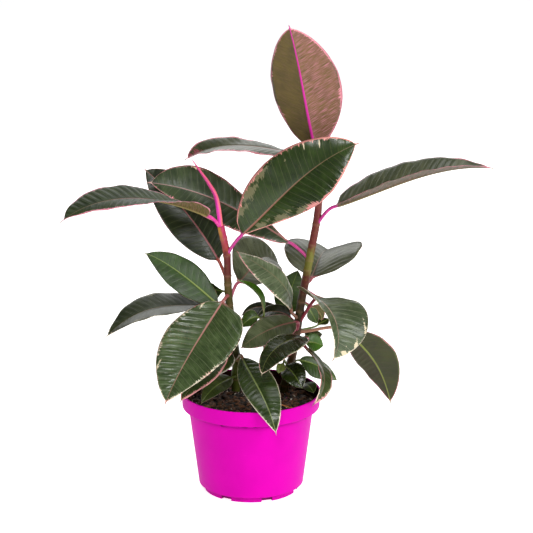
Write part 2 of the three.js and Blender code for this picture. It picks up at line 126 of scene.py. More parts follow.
# The leaves, as in the CAD model: the stem and the height where the stalk leaves it, four points
# along the midrib, where the top face looks, half widths either side, the tilt of each half in
# degrees at the base and then at the tip, where each half is widest and how full it is.
LEAVES = {
    "top": dict(
        stem="right", leaves_at=287, crown=True, up=(1, 10, 1), half=(46, 44), fold=(10, 30),
        full=(0.66, 0.66),
        rib=((78, 26, 295), (67, 20, 348), (57, 8, 402), (45, -8, 454)),
    ),
    "big_front": dict(
        stem="left", leaves_at=170, up=(0, -10, 4), half=(43, 38), fold=(6, 12),
        full=(0.62, 0.8), peak=(0.46, 0.62),
        rib=((-12, 0, 195), (30, -8, 239), (75, -14, 282), (131, -14, 314)),
    ),
    "far_left": dict(
        stem="left", leaves_at=205, up=(0, 0, 10), half=(38, 34), fold=(44, 12, -30, 22),
        full=(1, 0.55), peak=(0.36, 0.66), curl=(-10, -8),
        rib=((-49, 4, 218), (-103, -12, 241), (-166, -28, 247), (-226, -40, 222)),
    ),
    "back_left": dict(
        stem="right", leaves_at=157, up=(1, -8, 6), half=(28, 33), fold=(8, 8),
        full=(0.7, 0.66), peak=(0.5, 0.7),
        rib=((50, 38, 175), (-10, 48, 211), (-67, 56, 235), (-128, 62, 246)),
    ),
    "upper_left": dict(
        stem="right", leaves_at=284, up=(0, 0, 10), half=(28, 24), fold=(-2, -6, 5, 34),
        full=(0.62, 0.5), peak=(0.5, 0.7),
        rib=((69, 40, 283), (16, 60, 290), (-35, 72, 289), (-82, 74, 271)),
    ),
    "back_lower_left": dict(
        stem="left", leaves_at=133, up=(-3, -8, 5), half=(30, 36), fold=(8, 8),
        rib=((-39, 34, 154), (-64, 52, 190), (-97, 74, 226), (-133, 92, 257)),
    ),
    "left_green": dict(
        stem="left", leaves_at=96, up=(2, -8, 6), half=(23, 21), fold=(8, 8), full=(0.8, 0.8),
        rib=((-38, 8, 105), (-69, 14, 131), (-99, 18, 153), (-130, 20, 169)),
    ),
    "left_dark": dict(
        stem="left", leaves_at=120, up=(0, -9, 3), half=(16, 14), fold=(10, 70),
        rib=((-33, 20, 120), (-41, 26, 120), (-51, 30, 122), (-62, 32, 126)),
    ),
    "left_grey": dict(
        stem="left", leaves_at=92, up=(0, 0, 10), half=(32, 31), fold=(4, 22),
        rib=((-48, 28, 99), (-93, 22, 101), (-136, 10, 95), (-179, -2, 65)),
    ),
    "front_left": dict(
        stem="left", leaves_at=118, up=(-2, -9, 3), half=(50, 40), fold=(22, 8),
        full=(0.8, 0.7), peak=(0.3, 0.46),
        rib=((-33, -2, 115), (-61, -30, 77), (-84, -52, 42), (-103, -66, 3)),
    ),
    "mid_back": dict(
        stem="left", leaves_at=109, up=(5, -4, 8), half=(36, 34), fold=(18, 18),
        rib=((-16, 26, 129), (0, 60, 138), (16, 98, 141), (36, 128, 121)),
    ),
    "mid_droop": dict(
        stem="right", leaves_at=80, up=(6, -4, 6), half=(26, 17), fold=(0, 8),
        rib=((49, 18, 97), (40, 2, 132), (14, 0, 156), (-18, 14, 173)),
    ),
    "right_back": dict(
        stem="right", leaves_at=124, up=(-1, -5, 8), half=(46, 58), fold=(26, 26),
        full=(0.52, 0.52),
        rib=((74, 44, 129), (81, 68, 140), (89, 100, 146), (98, 134, 140)),
    ),
    "right_long": dict(
        stem="right", leaves_at=202, up=(0, 0, 10), half=(38, 38), fold=(30, 25),
        peak=(0.36, 0.48),
        rib=((101, 22, 226), (163, 14, 251), (225, 6, 273), (291, 0, 279)),
    ),
    "right_front": dict(
        stem="right", leaves_at=74, up=(-3, 1, 10), up_tip=(5, -8, 4), half=(44, 38),
        fold=(-9, 50, 14, 58), full=(0.62, 0.5), peak=(0.52, 0.3),
        rib=((79, 14, 112), (92, -20, 112), (104, -46, 92), (98, -50, 53)),
    ),
    "right_hanging": dict(
        stem="right", leaves_at=64, up=(4, 9, 0), half=(24, 30), fold=(8, 14),
        rib=((118, 36, 64), (142, 48, 36), (161, 58, 4), (175, 66, -42)),
    ),
    "inner_green": dict(
        stem="right", leaves_at=101, up=(2, -9, 4), half=(8, 8), fold=(10, 10),
        rib=((70, 44, 93), (74, 48, 85), (78, 50, 77), (81, 50, 69)),
    ),
    "inner_olive": dict(
        stem="right", leaves_at=103, up=(-2, 9, 2), half=(9, 9), fold=(10, 10),
        rib=((72, 54, 92), (79, 60, 85), (85, 64, 78), (87, 64, 68)),
    ),
    "inner_dark": dict(
        stem="right", leaves_at=66, up=(0, -6, 8), half=(7, 7), fold=(10, 10),
        rib=((82, 60, 64), (87, 70, 64), (92, 76, 65), (97, 80, 67)),
    ),
    "center_back": dict(
        stem="right", leaves_at=51, up=(0, -9, 4), half=(19, 19), fold=(10, 10),
        rib=((44, 74, 69), (46, 80, 90), (51, 84, 108), (59, 88, 129)),
    ),
    "center_dark": dict(
        stem="right", leaves_at=66, up=(0, -5, 8), half=(22, 9), fold=(10, 10),
        rib=((39, 58, 82), (21, 66, 85), (3, 72, 83), (-13, 76, 71)),
    ),
    "center_mid": dict(
        stem="right", leaves_at=74, up=(0, -4, 9), half=(18, 13), fold=(10, 10),
        rib=((49, 40, 80), (39, 43, 85), (23, 46, 86), (6, 48, 76)),
    ),
    "center_green": dict(
        stem="shoot", leaves_at=77, up=(-2, -8, 6), half=(11, 11), fold=(10, 10),
        rib=((10, 15, 88), (4, 13, 89), (-4, 12, 85), (-13, 12, 76)),
    ),
    "young_narrow": dict(
        stem="shoot", leaves_at=85, up=(6, -5, 6), half=(7, 7), fold=(30, 30), full=(1, 1),
        rib=((16, 14, 93), (12, 8, 114), (0, 2, 131), (-20, -2, 141)),
    ),
    "center_grey": dict(
        stem="right", leaves_at=65, up=(-2, -6, 8), half=(23, 19), fold=(0, 14),
        rib=((56, 18, 81), (35, 4, 81), (10, -8, 73), (-13, -14, 57)),
    ),
    "center_front": dict(
        stem="right", leaves_at=46, up=(-1, -4, 9), half=(24, 15), fold=(6, 10),
        rib=((68, 2, 66), (45, -28, 72), (24, -46, 61), (13, -56, 36)),
    ),
    "front_hanging": dict(
        stem="left", leaves_at=29, up=(0, -8, 6), half=(23, 19), fold=(6, 6), full=(0.8, 0.8),
        rib=((-11, 2, 42), (2, -38, 29), (18, -80, 11), (31, -100, -24)),
    ),
    "low_left": dict(
        stem="left", leaves_at=7, up=(-1, -7, 7), half=(13, 13), fold=(10, 10),
        full=(0.85, 0.85),
        rib=((-21, 14, 12), (-35, -2, 11), (-49, -16, 4), (-61, -24, -11)),
    ),
    "left_rim": dict(
        stem="left", leaves_at=64, up=(-1, -7, 7), half=(15, 19), fold=(10, 10),
        full=(0.8, 0.8),
        rib=((-27, 6, 54), (-46, -14, 35), (-66, -38, 22), (-86, -56, 2)),
    ),
    "left_inner": dict(
        stem="left", leaves_at=52, up=(-2, -8, 5), half=(12, 12), fold=(10, 10),
        rib=((-23, 14, 45), (-29, 8, 38), (-37, 2, 29), (-45, -4, 18)),
    ),
    "low_right": dict(
        stem="right", leaves_at=6, up=(0, -8, 6), half=(15, 15), fold=(10, 10),
        rib=((40, 16, 26), (49, 2, 24), (56, -8, 17), (63, -14, 6)),
    ),
    "right_rim": dict(
        stem="right", leaves_at=20, up=(0, -8, 6), half=(9, 17), fold=(10, 10),
        rib=((58, 38, 26), (73, 46, 20), (90, 50, 10), (108, 50, -6)),
    ),
    "right_drape": dict(
        stem="right", leaves_at=44, up=(8, -3, 5), half=(16, 12), fold=(10, 10),
        full=(0.8, 0.8),
        rib=((66, 22, 49), (83, 2, 35), (89, -32, 21), (74, -62, 0)),
    ),
    "low_sliver": dict(
        stem="right", leaves_at=6, up=(0, -3, 9), half=(10, 10), fold=(10, 10),
        rib=((64, 14, 3), (69, 8, 4), (73, 2, 2), (77, -4, -3)),
    ),
    "low_pale": dict(
        stem="right", leaves_at=15, up=(0, -9, 3), half=(6, 6), fold=(10, 10), full=(0.9, 0.9),
        rib=((40, 7, 34), (38, 0, 31), (35, -6, 28), (34, -8, 23)),
    ),
    "inner_low_dark": dict(
        stem="right", leaves_at=47, up=(0, -3, 9), half=(12, 12), fold=(10, 10),
        rib=((65, 46, 53), (73, 52, 54), (80, 58, 54), (89, 64, 51)),
    ),
    "inner_low_bright": dict(
        stem="right", leaves_at=38, up=(0, -8, 5), half=(12, 12), fold=(10, 10),
        rib=((64, 32, 51), (73, 36, 50), (81, 40, 47), (90, 44, 42)),
    ),
    "behind_high": dict(
        stem="right", leaves_at=242, up=(0, 0, 10), half=(26, 26), fold=(8, 8),
        rib=((73, 48, 240), (60, 78, 240), (47, 112, 237), (32, 146, 225)),
    ),
    "behind_left": dict(
        stem="left", leaves_at=80, up=(-2, -2, 10), half=(24, 24), fold=(6, 6),
        rib=((-37, 42, 77), (-53, 62, 76), (-71, 98, 59), (-88, 130, 36)),
    ),
    "behind_right": dict(
        stem="right", leaves_at=119, up=(1, 0, 10), half=(24, 24), fold=(6, 6),
        rib=((75, 56, 106), (92, 88, 90), (109, 120, 74), (125, 148, 52)),
    ),
}

# How each leaf is coloured. Greens run dark to light; the margin is cream or pink, `margin` mm
# deep with fingers of `streak` mm along the veins; halo is the paler zone inside it. Spots are
# blotches: how far along, how far across, length and width in mm, and colour. The underside has
# its own colours, and a blush that can lean to one side. `waves` is how high the blade swells
# between its side veins, and `ruffle` how wavy its margin is.
PLAIN = dict(
    dark="1f2c0f",
    light="314216",
    halo="59613f",
    halo_mm=2,
    veins=0.22,
    patches=0.04,
    spots=(),
    cream="e6d9c0",
    pink="d8868f",
    pinkness=0.5,
    margin=0.9,
    streak=1.2,
    rib="96605a",
    rib_tip="6e6248",
    under="4a4216",
    under_pale="5a501c",
    under_pink="96625a",
    under_dark="2e2a12",
    under_streak="b07a70",
    blush=0.1,
    blush_side=0,
    under_rib="7d6f3c",
    stalk="8c3046",
    stalk_top="a8525c",
    rough=0.3,
    waves=0.45,
    ruffle=0.8,
)
GREEN = dict(
    dark="22360a",
    light="365011",
    halo="4d6422",
    margin=0.2,
    streak=0,
    halo_mm=1,
    patches=0,
    rib="72843a",
    rib_tip="667834",
    under="4c5a1c",
    under_pale="5d6c23",
    under_rib="7f8c46",
    stalk="566428",
    stalk_top="6c7c34",
)
KHAKI = "6e6a4c"
CREAM = "d8c9a8"
PINK = "d88a86"
LOOKS = {
    "top": dict(
        under="4c4010", under_pale="5e5018", under_pink="8e584c", under_streak="c07c8c",
        blush=0.52, blush_side=-1, under_rib="c01a8c", margin=1.8, streak=2.5, pinkness=0.95,
        pink="dc8a98", stalk="c01a80", stalk_top="cc2496", rib="c81e8c",
    ),
    "big_front": dict(
        dark="1b290b", light="2f4113", halo="4c5230", veins=0.5, margin=1.5, streak=2.5,
        pinkness=0.8, pink="e89a92", rib="945e50", rib_tip="6a5a40", stalk="b0207c",
        stalk_top="bc3c88", waves=0.35, rough=0.25,
        spots=(
            (0.12, -0.8, 6, 16, KHAKI), (0.24, -0.84, 7, 18, KHAKI), (0.38, -0.88, 6, 16, KHAKI),
            (0.15, 0.8, 6, 14, KHAKI), (0.3, 0.82, 7, 17, KHAKI), (0.44, 0.9, 6, 14, KHAKI),
            (0.5, 0.97, 5, 14, PINK), (0.64, 0.98, 3, 16, PINK), (0.78, -0.72, 6, 1, CREAM),
            (0.7, -0.86, 4, 1, CREAM), (0.56, -0.7, 2, 2, KHAKI), (0.3, -0.99, 2, 26, PINK),
        ),
    ),
    "far_left": dict(
        dark="1c2a0c", light="303e16", veins=0.4, margin=1.7, pinkness=0.95,
        pink="dc8a9c", stalk="c41c80", stalk_top="dc4a98", rib="b04a60", waves=1.5, rough=0.5,
        under="4e4618", under_pink="a86460", blush=0.3,
    ),
    "back_left": dict(
        dark="24311a", light="3e4b2b", halo="666a4e", veins=0.4, streak=2,
        pinkness=0.7, rib="a8706a", rib_tip="a07874", stalk="b02478", stalk_top="c84a86",
        spots=((0.7, 0.93, 3, 8, PINK), (0.72, 0.98, 3, 12, CREAM), (0.3, 0.96, 3, 14, KHAKI)),
    ),
    "upper_left": dict(
        dark="2a3316", light="464a2a", halo="6a6450", margin=2.2, streak=1, pinkness=0.95,
        pink="d07a88", under="5c2a1f", under_pale="703829", under_pink="8a3a44", blush=0.9,
        stalk="9a4a50",
        spots=(
            (0.35, -0.98, 5, 30, "c8707c"), (0.7, -0.98, 6, 30, "c06a78"),
            (0.9, -0.6, 16, 14, "8e4450"), (0.97, 0.0, 14, 12, "8e4450"),
        ),
    ),
    "back_lower_left": dict(
        dark="131c07", light="222e10", halo_mm=1, veins=0.45, margin=0.4, streak=0.6,
        pinkness=0.8, rib="98585c", rib_tip="84504a", stalk="8a3028", stalk_top="a04a3a",
        rough=0.34,
    ),
    "left_green": dict(
        GREEN, dark="182e02", light="2a4a02", rib="7d8a3c", stalk="5d6a2c", rough=0.42, waves=0.2,
    ),
    "left_dark": dict(GREEN, dark="1c2b06", light="2c400b", stalk="4a5520"),
    "left_grey": dict(
        dark="1e2610", light="363e22", halo="565a40", streak=2, pinkness=0.3,
        rib="6f6450", stalk="6a4a3a", rough=0.36,
        spots=((0.5, 0.96, 4, 16, "7c7a60"), (0.75, -0.93, 4, 14, KHAKI)),
    ),
    # front_left: these greens are the leaf's own colour made lighter with painted highlight.
    "front_left": dict(
        dark="2f3f20", light="55673e", halo="747d5c", veins=0.45, margin=1.4, streak=3.5,
        pinkness=0.45, pink="dc988e", rib="b87c74", rib_tip="98705e", stalk="8a5a4a",
        waves=1.8, rough=0.24,
        spots=((0.4, 0.99, 2, 16, CREAM), (0.75, 0.99, 2, 12, CREAM), (0.1, 0.9, 2, 6, CREAM)),
    ),
    # mid_back: these greens are the leaf's own colour made paler and greyer with painted sheen.
    "mid_back": dict(
        dark="4a5038", light="787e60", margin=0.5, streak=1, pinkness=0.6, rib="7c5a4c",
        stalk="c0507a", stalk_top="d0707c", waves=1.1, veins=0.35,
    ),
    "mid_droop": dict(
        dark="465338", light="707c5c", halo="8f9378", margin=1.0, streak=2,
        rib="757554", stalk="7a7040", waves=0.7, veins=0.35,
    ),
    "right_back": dict(
        dark="363c26", light="545838", halo="707054", margin=0.8, streak=1.5, pinkness=0.35,
        rib="8a6c62", rib_tip="7c6c5c", stalk="8a4a50", waves=1.1, veins=0.35,
    ),
    "right_long": dict(
        dark="2e361b", light="4c502d", margin=1.4, streak=0.8, pinkness=0.95, pink="c8788a",
        rib="b0625c", under="352e10", under_pale="423818", under_pink="6a403a", blush=0.3,
        stalk="b01e80", stalk_top="cc4290", waves=0.8, veins=0.4,
    ),
    "right_front": dict(
        dark="36442a", light="5e6a48", halo="7c8064", margin=1.4, streak=2.5, pinkness=0.35,
        cream="dccfb4", rib="c0a08c", rib_tip="a88878", under="403c0f", under_pale="504c18",
        stalk="7a2030", stalk_top="8a2c3a", waves=1.7, veins=0.5,
        spots=((0.84, -0.93, 3, 9, CREAM), (0.92, -0.8, 4, 8, CREAM), (0.72, -0.98, 2, 14, CREAM)),
    ),
    "right_hanging": dict(
        dark="4c5c2e", light="6a763e", halo="8d9066", streak=1, pinkness=0.8,
        pink="c07a80", under="242a02", under_pale="303605", under_pink="4c3820", blush=0.03,
        under_streak="5a5228", under_rib="6f7a30", stalk="a06a54", stalk_top="b08068",
    ),
    "inner_green": dict(GREEN, dark="2f4812", light="456219"),
    "inner_olive": dict(dark="394816", light="4c581c", margin=0.6, pinkness=0.9, under="454d16"),
    "inner_dark": dict(GREEN, dark="1a2807", light="283a0d"),
    "center_back": dict(GREEN, dark="2a400b", light="3c5415", rough=0.4),
    "center_dark": dict(dark="151c08", light="232c11", margin=0.3, streak=0.5),
    "center_mid": dict(dark="1a240a", light="2b3716", margin=0.4, streak=0.5, pinkness=0.3),
    "center_green": dict(GREEN, dark="2a3f0f", light="425a1b", margin=0.5, pinkness=0.2),
    "young_narrow": dict(GREEN, dark="365e0d", light="4f7c16", waves=0.1),
    "center_grey": dict(
        dark="3f492c", light="616949", margin=0.7, streak=1.5, pinkness=0.8, halo="6e6f50",
    ),
    "center_front": dict(
        dark="161f08", light="262f0f", margin=1.0, streak=1, rib="555528",
        rib_tip="4a4e26", rough=0.24, waves=0.6,
    ),
    "front_hanging": dict(
        dark="1e2f0e", light="35461b", halo="56623a", margin=0.7, streak=0.8, pinkness=0.1,
        rib="74824a", rib_tip="7c8850", stalk="6a7a3a", rough=0.24, waves=0.6,
    ),
    "low_left": dict(GREEN, dark="344418", light="4c5a26", halo="636c3f"),
    "left_rim": dict(
        dark="223412", light="35461c", margin=1.6, streak=2, pinkness=0.75, pink="d89492",
        rib="747a3e", stalk="66702f",
    ),
    "left_inner": dict(
        dark="2f4216", light="465a22", margin=1.8, streak=3, pinkness=0.15, cream="dcd4c2",
        ruffle=2,
    ),
    "low_right": dict(GREEN, dark="1b2807", light="2c3c0f", rough=0.22),
    "right_rim": dict(GREEN, dark="273e07", light="38540e"),
    "right_drape": dict(
        dark="2e3b19", light="475429", margin=1.4, streak=2, pinkness=0.6, halo="70724c",
    ),
    "low_sliver": dict(GREEN, dark="1f2d0a", light="344a15"),
    "low_pale": dict(GREEN, dark="6a7a37", light="8a9a4d"),
    "inner_low_dark": dict(GREEN, dark="192507", light="27360d"),
    "inner_low_bright": dict(GREEN, dark="345a0d", light="467015"),
    "behind_high": dict(margin=1.2, streak=2),
    "behind_left": dict(margin=1.2, streak=2),
    "behind_right": dict(margin=1.2, streak=3),
}


# ---- Materials ----------------------------------------------------------------------------


def tint(code):
    """An sRGB hex code as a linear colour."""
    parts = [int(code[i : i + 2], 16) / 255 for i in (0, 2, 4)]
    return tuple(((c + 0.055) / 1.055) ** 2.4 if c > 0.04045 else c / 12.92 for c in parts) + (1,)


class Graph:
    """A short way to write a material's nodes: values may be numbers, colours or sockets."""

    def __init__(self, name):
        self.material = bpy.data.materials.new(name)
        self.material.use_nodes = True
        self.tree = self.material.node_tree
        self.tree.nodes.clear()
        out = self.tree.nodes.new("ShaderNodeOutputMaterial")
        self.shader = self.tree.nodes.new("ShaderNodeBsdfPrincipled")
        self.tree.links.new(self.shader.outputs[0], out.inputs[0])

    def put(self, socket, value):
        if isinstance(value, bpy.types.NodeSocket):
            self.tree.links.new(value, socket)
        else:
            socket.default_value = value

    def set(self, **values):
        for label, value in values.items():
            self.put(self.shader.inputs[label.replace("_", " ")], value)

    def attribute(self, name):
        node = self.tree.nodes.new("ShaderNodeAttribute")
        node.attribute_name = name
        return node.outputs["Vector"]

    def split(self, vector):
        node = self.tree.nodes.new("ShaderNodeSeparateXYZ")
        self.put(node.inputs[0], vector)
        return node.outputs

    def join(self, x, y, z):
        node = self.tree.nodes.new("ShaderNodeCombineXYZ")
        for socket, value in zip(node.inputs, (x, y, z)):
            self.put(socket, value)
        return node.outputs[0]

    def math(self, operation, *values):
        node = self.tree.nodes.new("ShaderNodeMath")
        node.operation = operation
        for socket, value in zip(node.inputs, values):
            self.put(socket, value)
        return node.outputs[0]

    def add(self, a, b):
        return self.math("ADD", a, b)

    def times(self, a, b):
        return self.math("MULTIPLY", a, b)

    def step(self, value, low, high, start=0.0, end=1.0, way="SMOOTHSTEP"):
        """Goes from start at low to end at high, smoothly or in a straight line."""
        node = self.tree.nodes.new("ShaderNodeMapRange")
        node.interpolation_type = way
        for socket, given in zip(node.inputs, (value, low, high, start, end)):
            self.put(socket, given)
        return node.outputs[0]

    def mix(self, share, a, b):
        node = self.tree.nodes.new("ShaderNodeMix")
        node.data_type = "RGBA"
        self.put(node.inputs[0], share)
        self.put(node.inputs[6], tint(a) if isinstance(a, str) else a)
        self.put(node.inputs[7], tint(b) if isinstance(b, str) else b)
        return node.outputs[2]

    def noise(self, vector, scale, detail=2.0, distortion=0.0):
        node = self.tree.nodes.new("ShaderNodeTexNoise")
        self.put(node.inputs["Vector"], vector)
        self.put(node.inputs["Scale"], scale)
        self.put(node.inputs["Detail"], detail)
        self.put(node.inputs["Distortion"], distortion)
        return node.outputs[0]

    def bands(self, value, stops):
        """A colour ramp through (place from 0 to 1, hex code) stops."""
        node = self.tree.nodes.new("ShaderNodeValToRGB")
        ramp = node.color_ramp
        while len(ramp.elements) < len(stops):
            ramp.elements.new(0.5)
        for element, (place, code) in zip(ramp.elements, stops):
            element.position = place
            element.color = tint(code)
        self.put(node.inputs[0], value)
        return node.outputs[0]

    def bump(self, height, strength, distance):
        node = self.tree.nodes.new("ShaderNodeBump")
        self.put(node.inputs["Height"], height)
        node.inputs["Strength"].default_value = strength
        node.inputs["Distance"].default_value = distance
        self.put(self.shader.inputs["Normal"], node.outputs[0])


def leaf_material(name, look, seed, gap, spots):
    """Green blade with side veins, a cream or pink margin that runs inward along the veins,
    a paler zone inside it, a coloured midrib, an olive underside and a pink stalk."""
    g = Graph("leaf_" + name)
    along, across, inset = (g.times(part, 100.0) for part in g.split(g.attribute("leafA")))
    u, top, stalk = g.split(g.attribute("leafB"))
    out = g.math("ABSOLUTE", across)
    vein = g.add(along, g.times(out, -VEIN_SLANT))
    flat = g.join(along, across, seed * 9.0)
    slanted = g.join(vein, g.times(out, 0.12), g.add(g.math("SIGN", across), seed * 3.0))

    cloud = g.noise(flat, 0.05, 3.0, 0.4)
    drift = g.noise(flat, 0.022, 1.0)
    comb = g.noise(slanted, 0.7, 3.0)
    wide_comb = g.noise(slanted, 0.16, 2.0)
    hairs = g.noise(g.join(vein, g.times(out, 0.05), seed), 1.6, 2.0)
    grain = g.noise(flat, 1.1, 2.0)

    # Side veins, and the finer ones between them.
    count = g.add(g.times(vein, 1 / gap), g.times(g.add(drift, -0.5), 0.9))
    line = g.step(g.math("PINGPONG", count, 0.5), 0.0, 0.1, 1.0, 0.0)
    fine = g.step(g.math("PINGPONG", g.times(count, 4.0), 0.5), 0.0, 0.25, 1.0, 0.0)

    shade = g.add(g.times(g.add(cloud, -0.5), 1.2), g.times(g.add(comb, -0.5), 0.5))
    green = g.mix(g.step(shade, -0.3, 0.4), look["dark"], look["light"])
    green = g.mix(g.times(line, look["veins"]), green, look["halo"])
    green = g.mix(g.times(fine, look["veins"] * 0.5), green, look["light"])
    green = g.mix(g.step(hairs, 0.35, 0.55, 0.4, 0.0), green, "10180a")

    # The margin, with fingers that follow the veins inward, and a paler zone inside it.
    reach = g.step(drift, 0.4, 0.62, 0.4, 1.3)
    fingers = g.times(g.times(g.step(comb, 0.5, 0.72), look["streak"]), reach)
    edge_mm = g.add(g.times(reach, look["margin"]), fingers)
    halo_mm = g.add(edge_mm, g.times(g.step(wide_comb, 0.38, 0.68), look["halo_mm"]))
    in_halo = g.step(g.math("SUBTRACT", halo_mm, inset), -0.8, 0.8)
    colour = g.mix(g.times(in_halo, 0.7), green, look["halo"])
    in_edge = g.step(g.math("SUBTRACT", edge_mm, inset), -0.3, 0.3)
    pinkness = g.step(g.add(g.noise(flat, 0.04, 2.0), look["pinkness"] - 0.5), 0.42, 0.6)
    edge_tint = g.mix(pinkness, look["cream"], look["pink"])

    # Blotches at chosen places, ragged along the veins.
    for s, x, long, wide, code in spots:
        beside = g.math("ABSOLUTE", g.times(g.add(across, -x), 1 / long))
        before = g.math("ABSOLUTE", g.times(g.add(vein, VEIN_SLANT * abs(x) - s), 1 / wide))
        far = g.add(beside, g.add(before, g.times(g.add(wide_comb, -0.5), 1.6)))
        far = g.add(far, g.times(g.add(comb, -0.5), 3.0))
        colour = g.mix(g.step(far, 0.8, 0.95, 0.88, 0.0), colour, code)
    colour = g.mix(in_edge, colour, edge_tint)
    specks = g.times(g.step(g.noise(slanted, 0.9, 2.0), 0.68, 0.73), look["patches"])
    colour = g.mix(specks, colour, edge_tint)

    # The midrib narrows to the tip.
    thin = g.step(u, 0.0, 1.0, 1.2, 0.4)
    on_rib = g.step(g.math("SUBTRACT", thin, out), -0.25, 0.3)
    rib_tint = g.mix(g.step(u, 0.0, 0.9), look["rib"], look["rib_tip"])
    rib_tint = g.mix(g.step(along, 0.0, 10.0, 0.7, 0.0), rib_tint, look["stalk_top"])
    colour = g.mix(g.times(on_rib, 0.85), colour, rib_tint)

    below = g.mix(g.step(shade, -0.25, 0.25), look["under"], look["under_pale"])
    lean = float(look["blush_side"])
    side = g.step(g.times(across, lean), -4.0, 4.0, 0.1, 1.0) if lean else 1.0
    warm = g.times(g.step(g.add(hairs, look["blush"] - 0.5), 0.3, 0.7), side)
    below = g.mix(g.times(warm, 0.85), below, look["under_pink"])
    streaks = g.times(g.step(hairs, 0.48, 0.66, 0.0, look["blush"]), side)
    below = g.mix(streaks, below, look["under_streak"])
    below = g.mix(g.times(g.math("MAXIMUM", line, fine), 0.3), below, look["under_dark"])
    below = g.mix(g.times(in_edge, 0.85), below, look["pink"])
    on_rib = g.step(g.math("SUBTRACT", g.times(thin, 1.15), out), -0.3, 0.3)
    below = g.mix(on_rib, below, look["under_rib"])

    face = g.mix(top, below, colour)
    stem_tint = g.mix(g.step(grain, 0.35, 0.65), look["stalk"], look["stalk_top"])
    face = g.mix(g.step(stalk, 0.25, 0.95), face, stem_tint)
    face = g.mix(g.step(grain, 0.3, 0.8, 0.0, 0.12), face, "10160a")

    polish = g.step(top, 0.0, 1.0, look["rough"] + 0.35, look["rough"])
    polish = g.add(polish, g.times(g.add(cloud, -0.5), 0.12))
    g.set(Base_Color=face, Roughness=polish, Specular_IOR_Level=0.42)
    relief = g.add(g.times(line, -0.6), g.add(g.times(fine, -0.2), g.times(grain, 0.25)))
    g.bump(relief, 0.35, 0.0004)
    return g.material


def stem_material(name, stem):
    """Bark that changes colour up the stem, with pale ring scars, and greener on a sunny side."""
    g = Graph(name)
    low, high = float(stem["bark"][0][0]), float(stem["bark"][-1][0])
    along, facing, ring = g.split(g.attribute("stemA"))
    height = g.times(along, 100.0)
    place = g.attribute("stemB")
    mottle = g.noise(place, 25.0, 4.0)
    stripes = g.noise(g.join(g.times(height, 0.02), facing, 0.0), 9.0, 3.0)
    shifted = g.add(height, g.times(g.add(mottle, -0.5), 26.0))
    scale = g.step(shifted, low, high, way="LINEAR")
    stops = [((z - low) / (high - low), code) for z, code in stem["bark"]]
    bark = g.bands(scale, stops)
    bark = g.mix(g.step(stripes, 0.5, 0.75, 0.0, 0.35), bark, "2c2410")
    bark = g.mix(g.step(mottle, 0.52, 0.75, 0.0, 0.25), bark, "6e6a30")
    if "sunny" in stem:
        fresh = g.step(height, stem["sunny"][0], stem["sunny"][1])
        side = g.step(g.add(facing, g.times(g.add(mottle, -0.5), 0.8)), -0.5, 0.3)
        bark = g.mix(g.times(fresh, g.math("SUBTRACT", 1.0, side)), bark, "a8702c")
    bark = g.mix(g.times(ring, 0.35), bark, "8c6850")
    g.set(Base_Color=bark, Roughness=0.45, Specular_IOR_Level=0.22)
    g.bump(g.add(mottle, g.times(stripes, 0.6)), 0.5, 0.0006)
    return g.material


def sheath_material():
    """The leaf bud's scroll: magenta on one side, salmon on the other, darker at the tip."""
    g = Graph("bud_sheath")
    along, facing, seam = g.split(g.attribute("stemA"))
    veins = g.noise(g.join(g.times(along, 1.2), g.times(facing, 9.0), 0.0), 6.0, 3.0)
    side = g.step(g.add(facing, g.times(g.add(veins, -0.5), 0.9)), -0.25, 0.75)
    skin = g.mix(side, "d420a4", "d8626c")
    skin = g.mix(g.step(along, 0.25, 0.56, 0.0, 0.6), skin, "c23a6c")
    skin = g.mix(g.step(veins, 0.5, 0.7, 0.0, 0.35), skin, "f0a09a")
    skin = g.mix(g.times(seam, 0.6), skin, "a02858")
    g.set(Base_Color=skin, Roughness=0.4, Specular_IOR_Level=0.25)
    g.bump(veins, 0.3, 0.0004)
    return g.material


def pot_material():
    """Magenta plastic with fine moulding marks, painted shade under the collar, and soil stains
    with painted shade on the inside.
    """
    g = Graph("pot_plastic")
    inner, height, turn = g.split(g.attribute("potA"))
    place = g.attribute("potB")
    cloud = g.noise(place, 14.0, 3.0)
    speck = g.noise(place, 260.0, 2.0)
    scuff = g.noise(g.join(g.times(turn, 1.5), g.times(height, 60.0), 0.0), 5.0, 3.0)
    shell = g.mix(g.step(cloud, 0.35, 0.65), "c2009c", "ca00a2")
    shell = g.mix(g.step(scuff, 0.62, 0.78, 0.0, 0.04), shell, "f040d0")
    dust = g.times(g.step(height, 0.0, 0.012, 1.0, 0.0), g.step(speck, 0.45, 0.6))
    shell = g.mix(g.times(dust, 0.25), shell, "6a2040")
    # Painted shade: a darker band on the wall just under the collar's ledge.
    ledge = (RIM_Z - POT["collar"] + POT["collar_slope"]) * MM
    near_ledge = g.step(height, ledge - 7 * MM, ledge - 2 * MM)
    under = g.times(near_ledge, g.step(height, ledge, ledge + MM, 1.0, 0.0))
    shell = g.mix(g.times(under, 0.45), shell, "780064")
    # The inside: dark soil stains, made darker still as painted shade.
    soil_and_shade = g.mix(g.step(cloud, 0.4, 0.6), "2c140e", "40201a")
    soil_and_shade = g.mix(g.step(speck, 0.5, 0.62, 0.0, 0.7), soil_and_shade, "20100c")
    shell = g.mix(inner, shell, soil_and_shade)
    g.set(Base_Color=shell, Roughness=g.step(cloud, 0.3, 0.7, 0.44, 0.5), Specular_IOR_Level=0.03)
    g.bump(g.add(speck, g.times(scuff, 0.8)), 0.12, 0.0003)
    return g.material


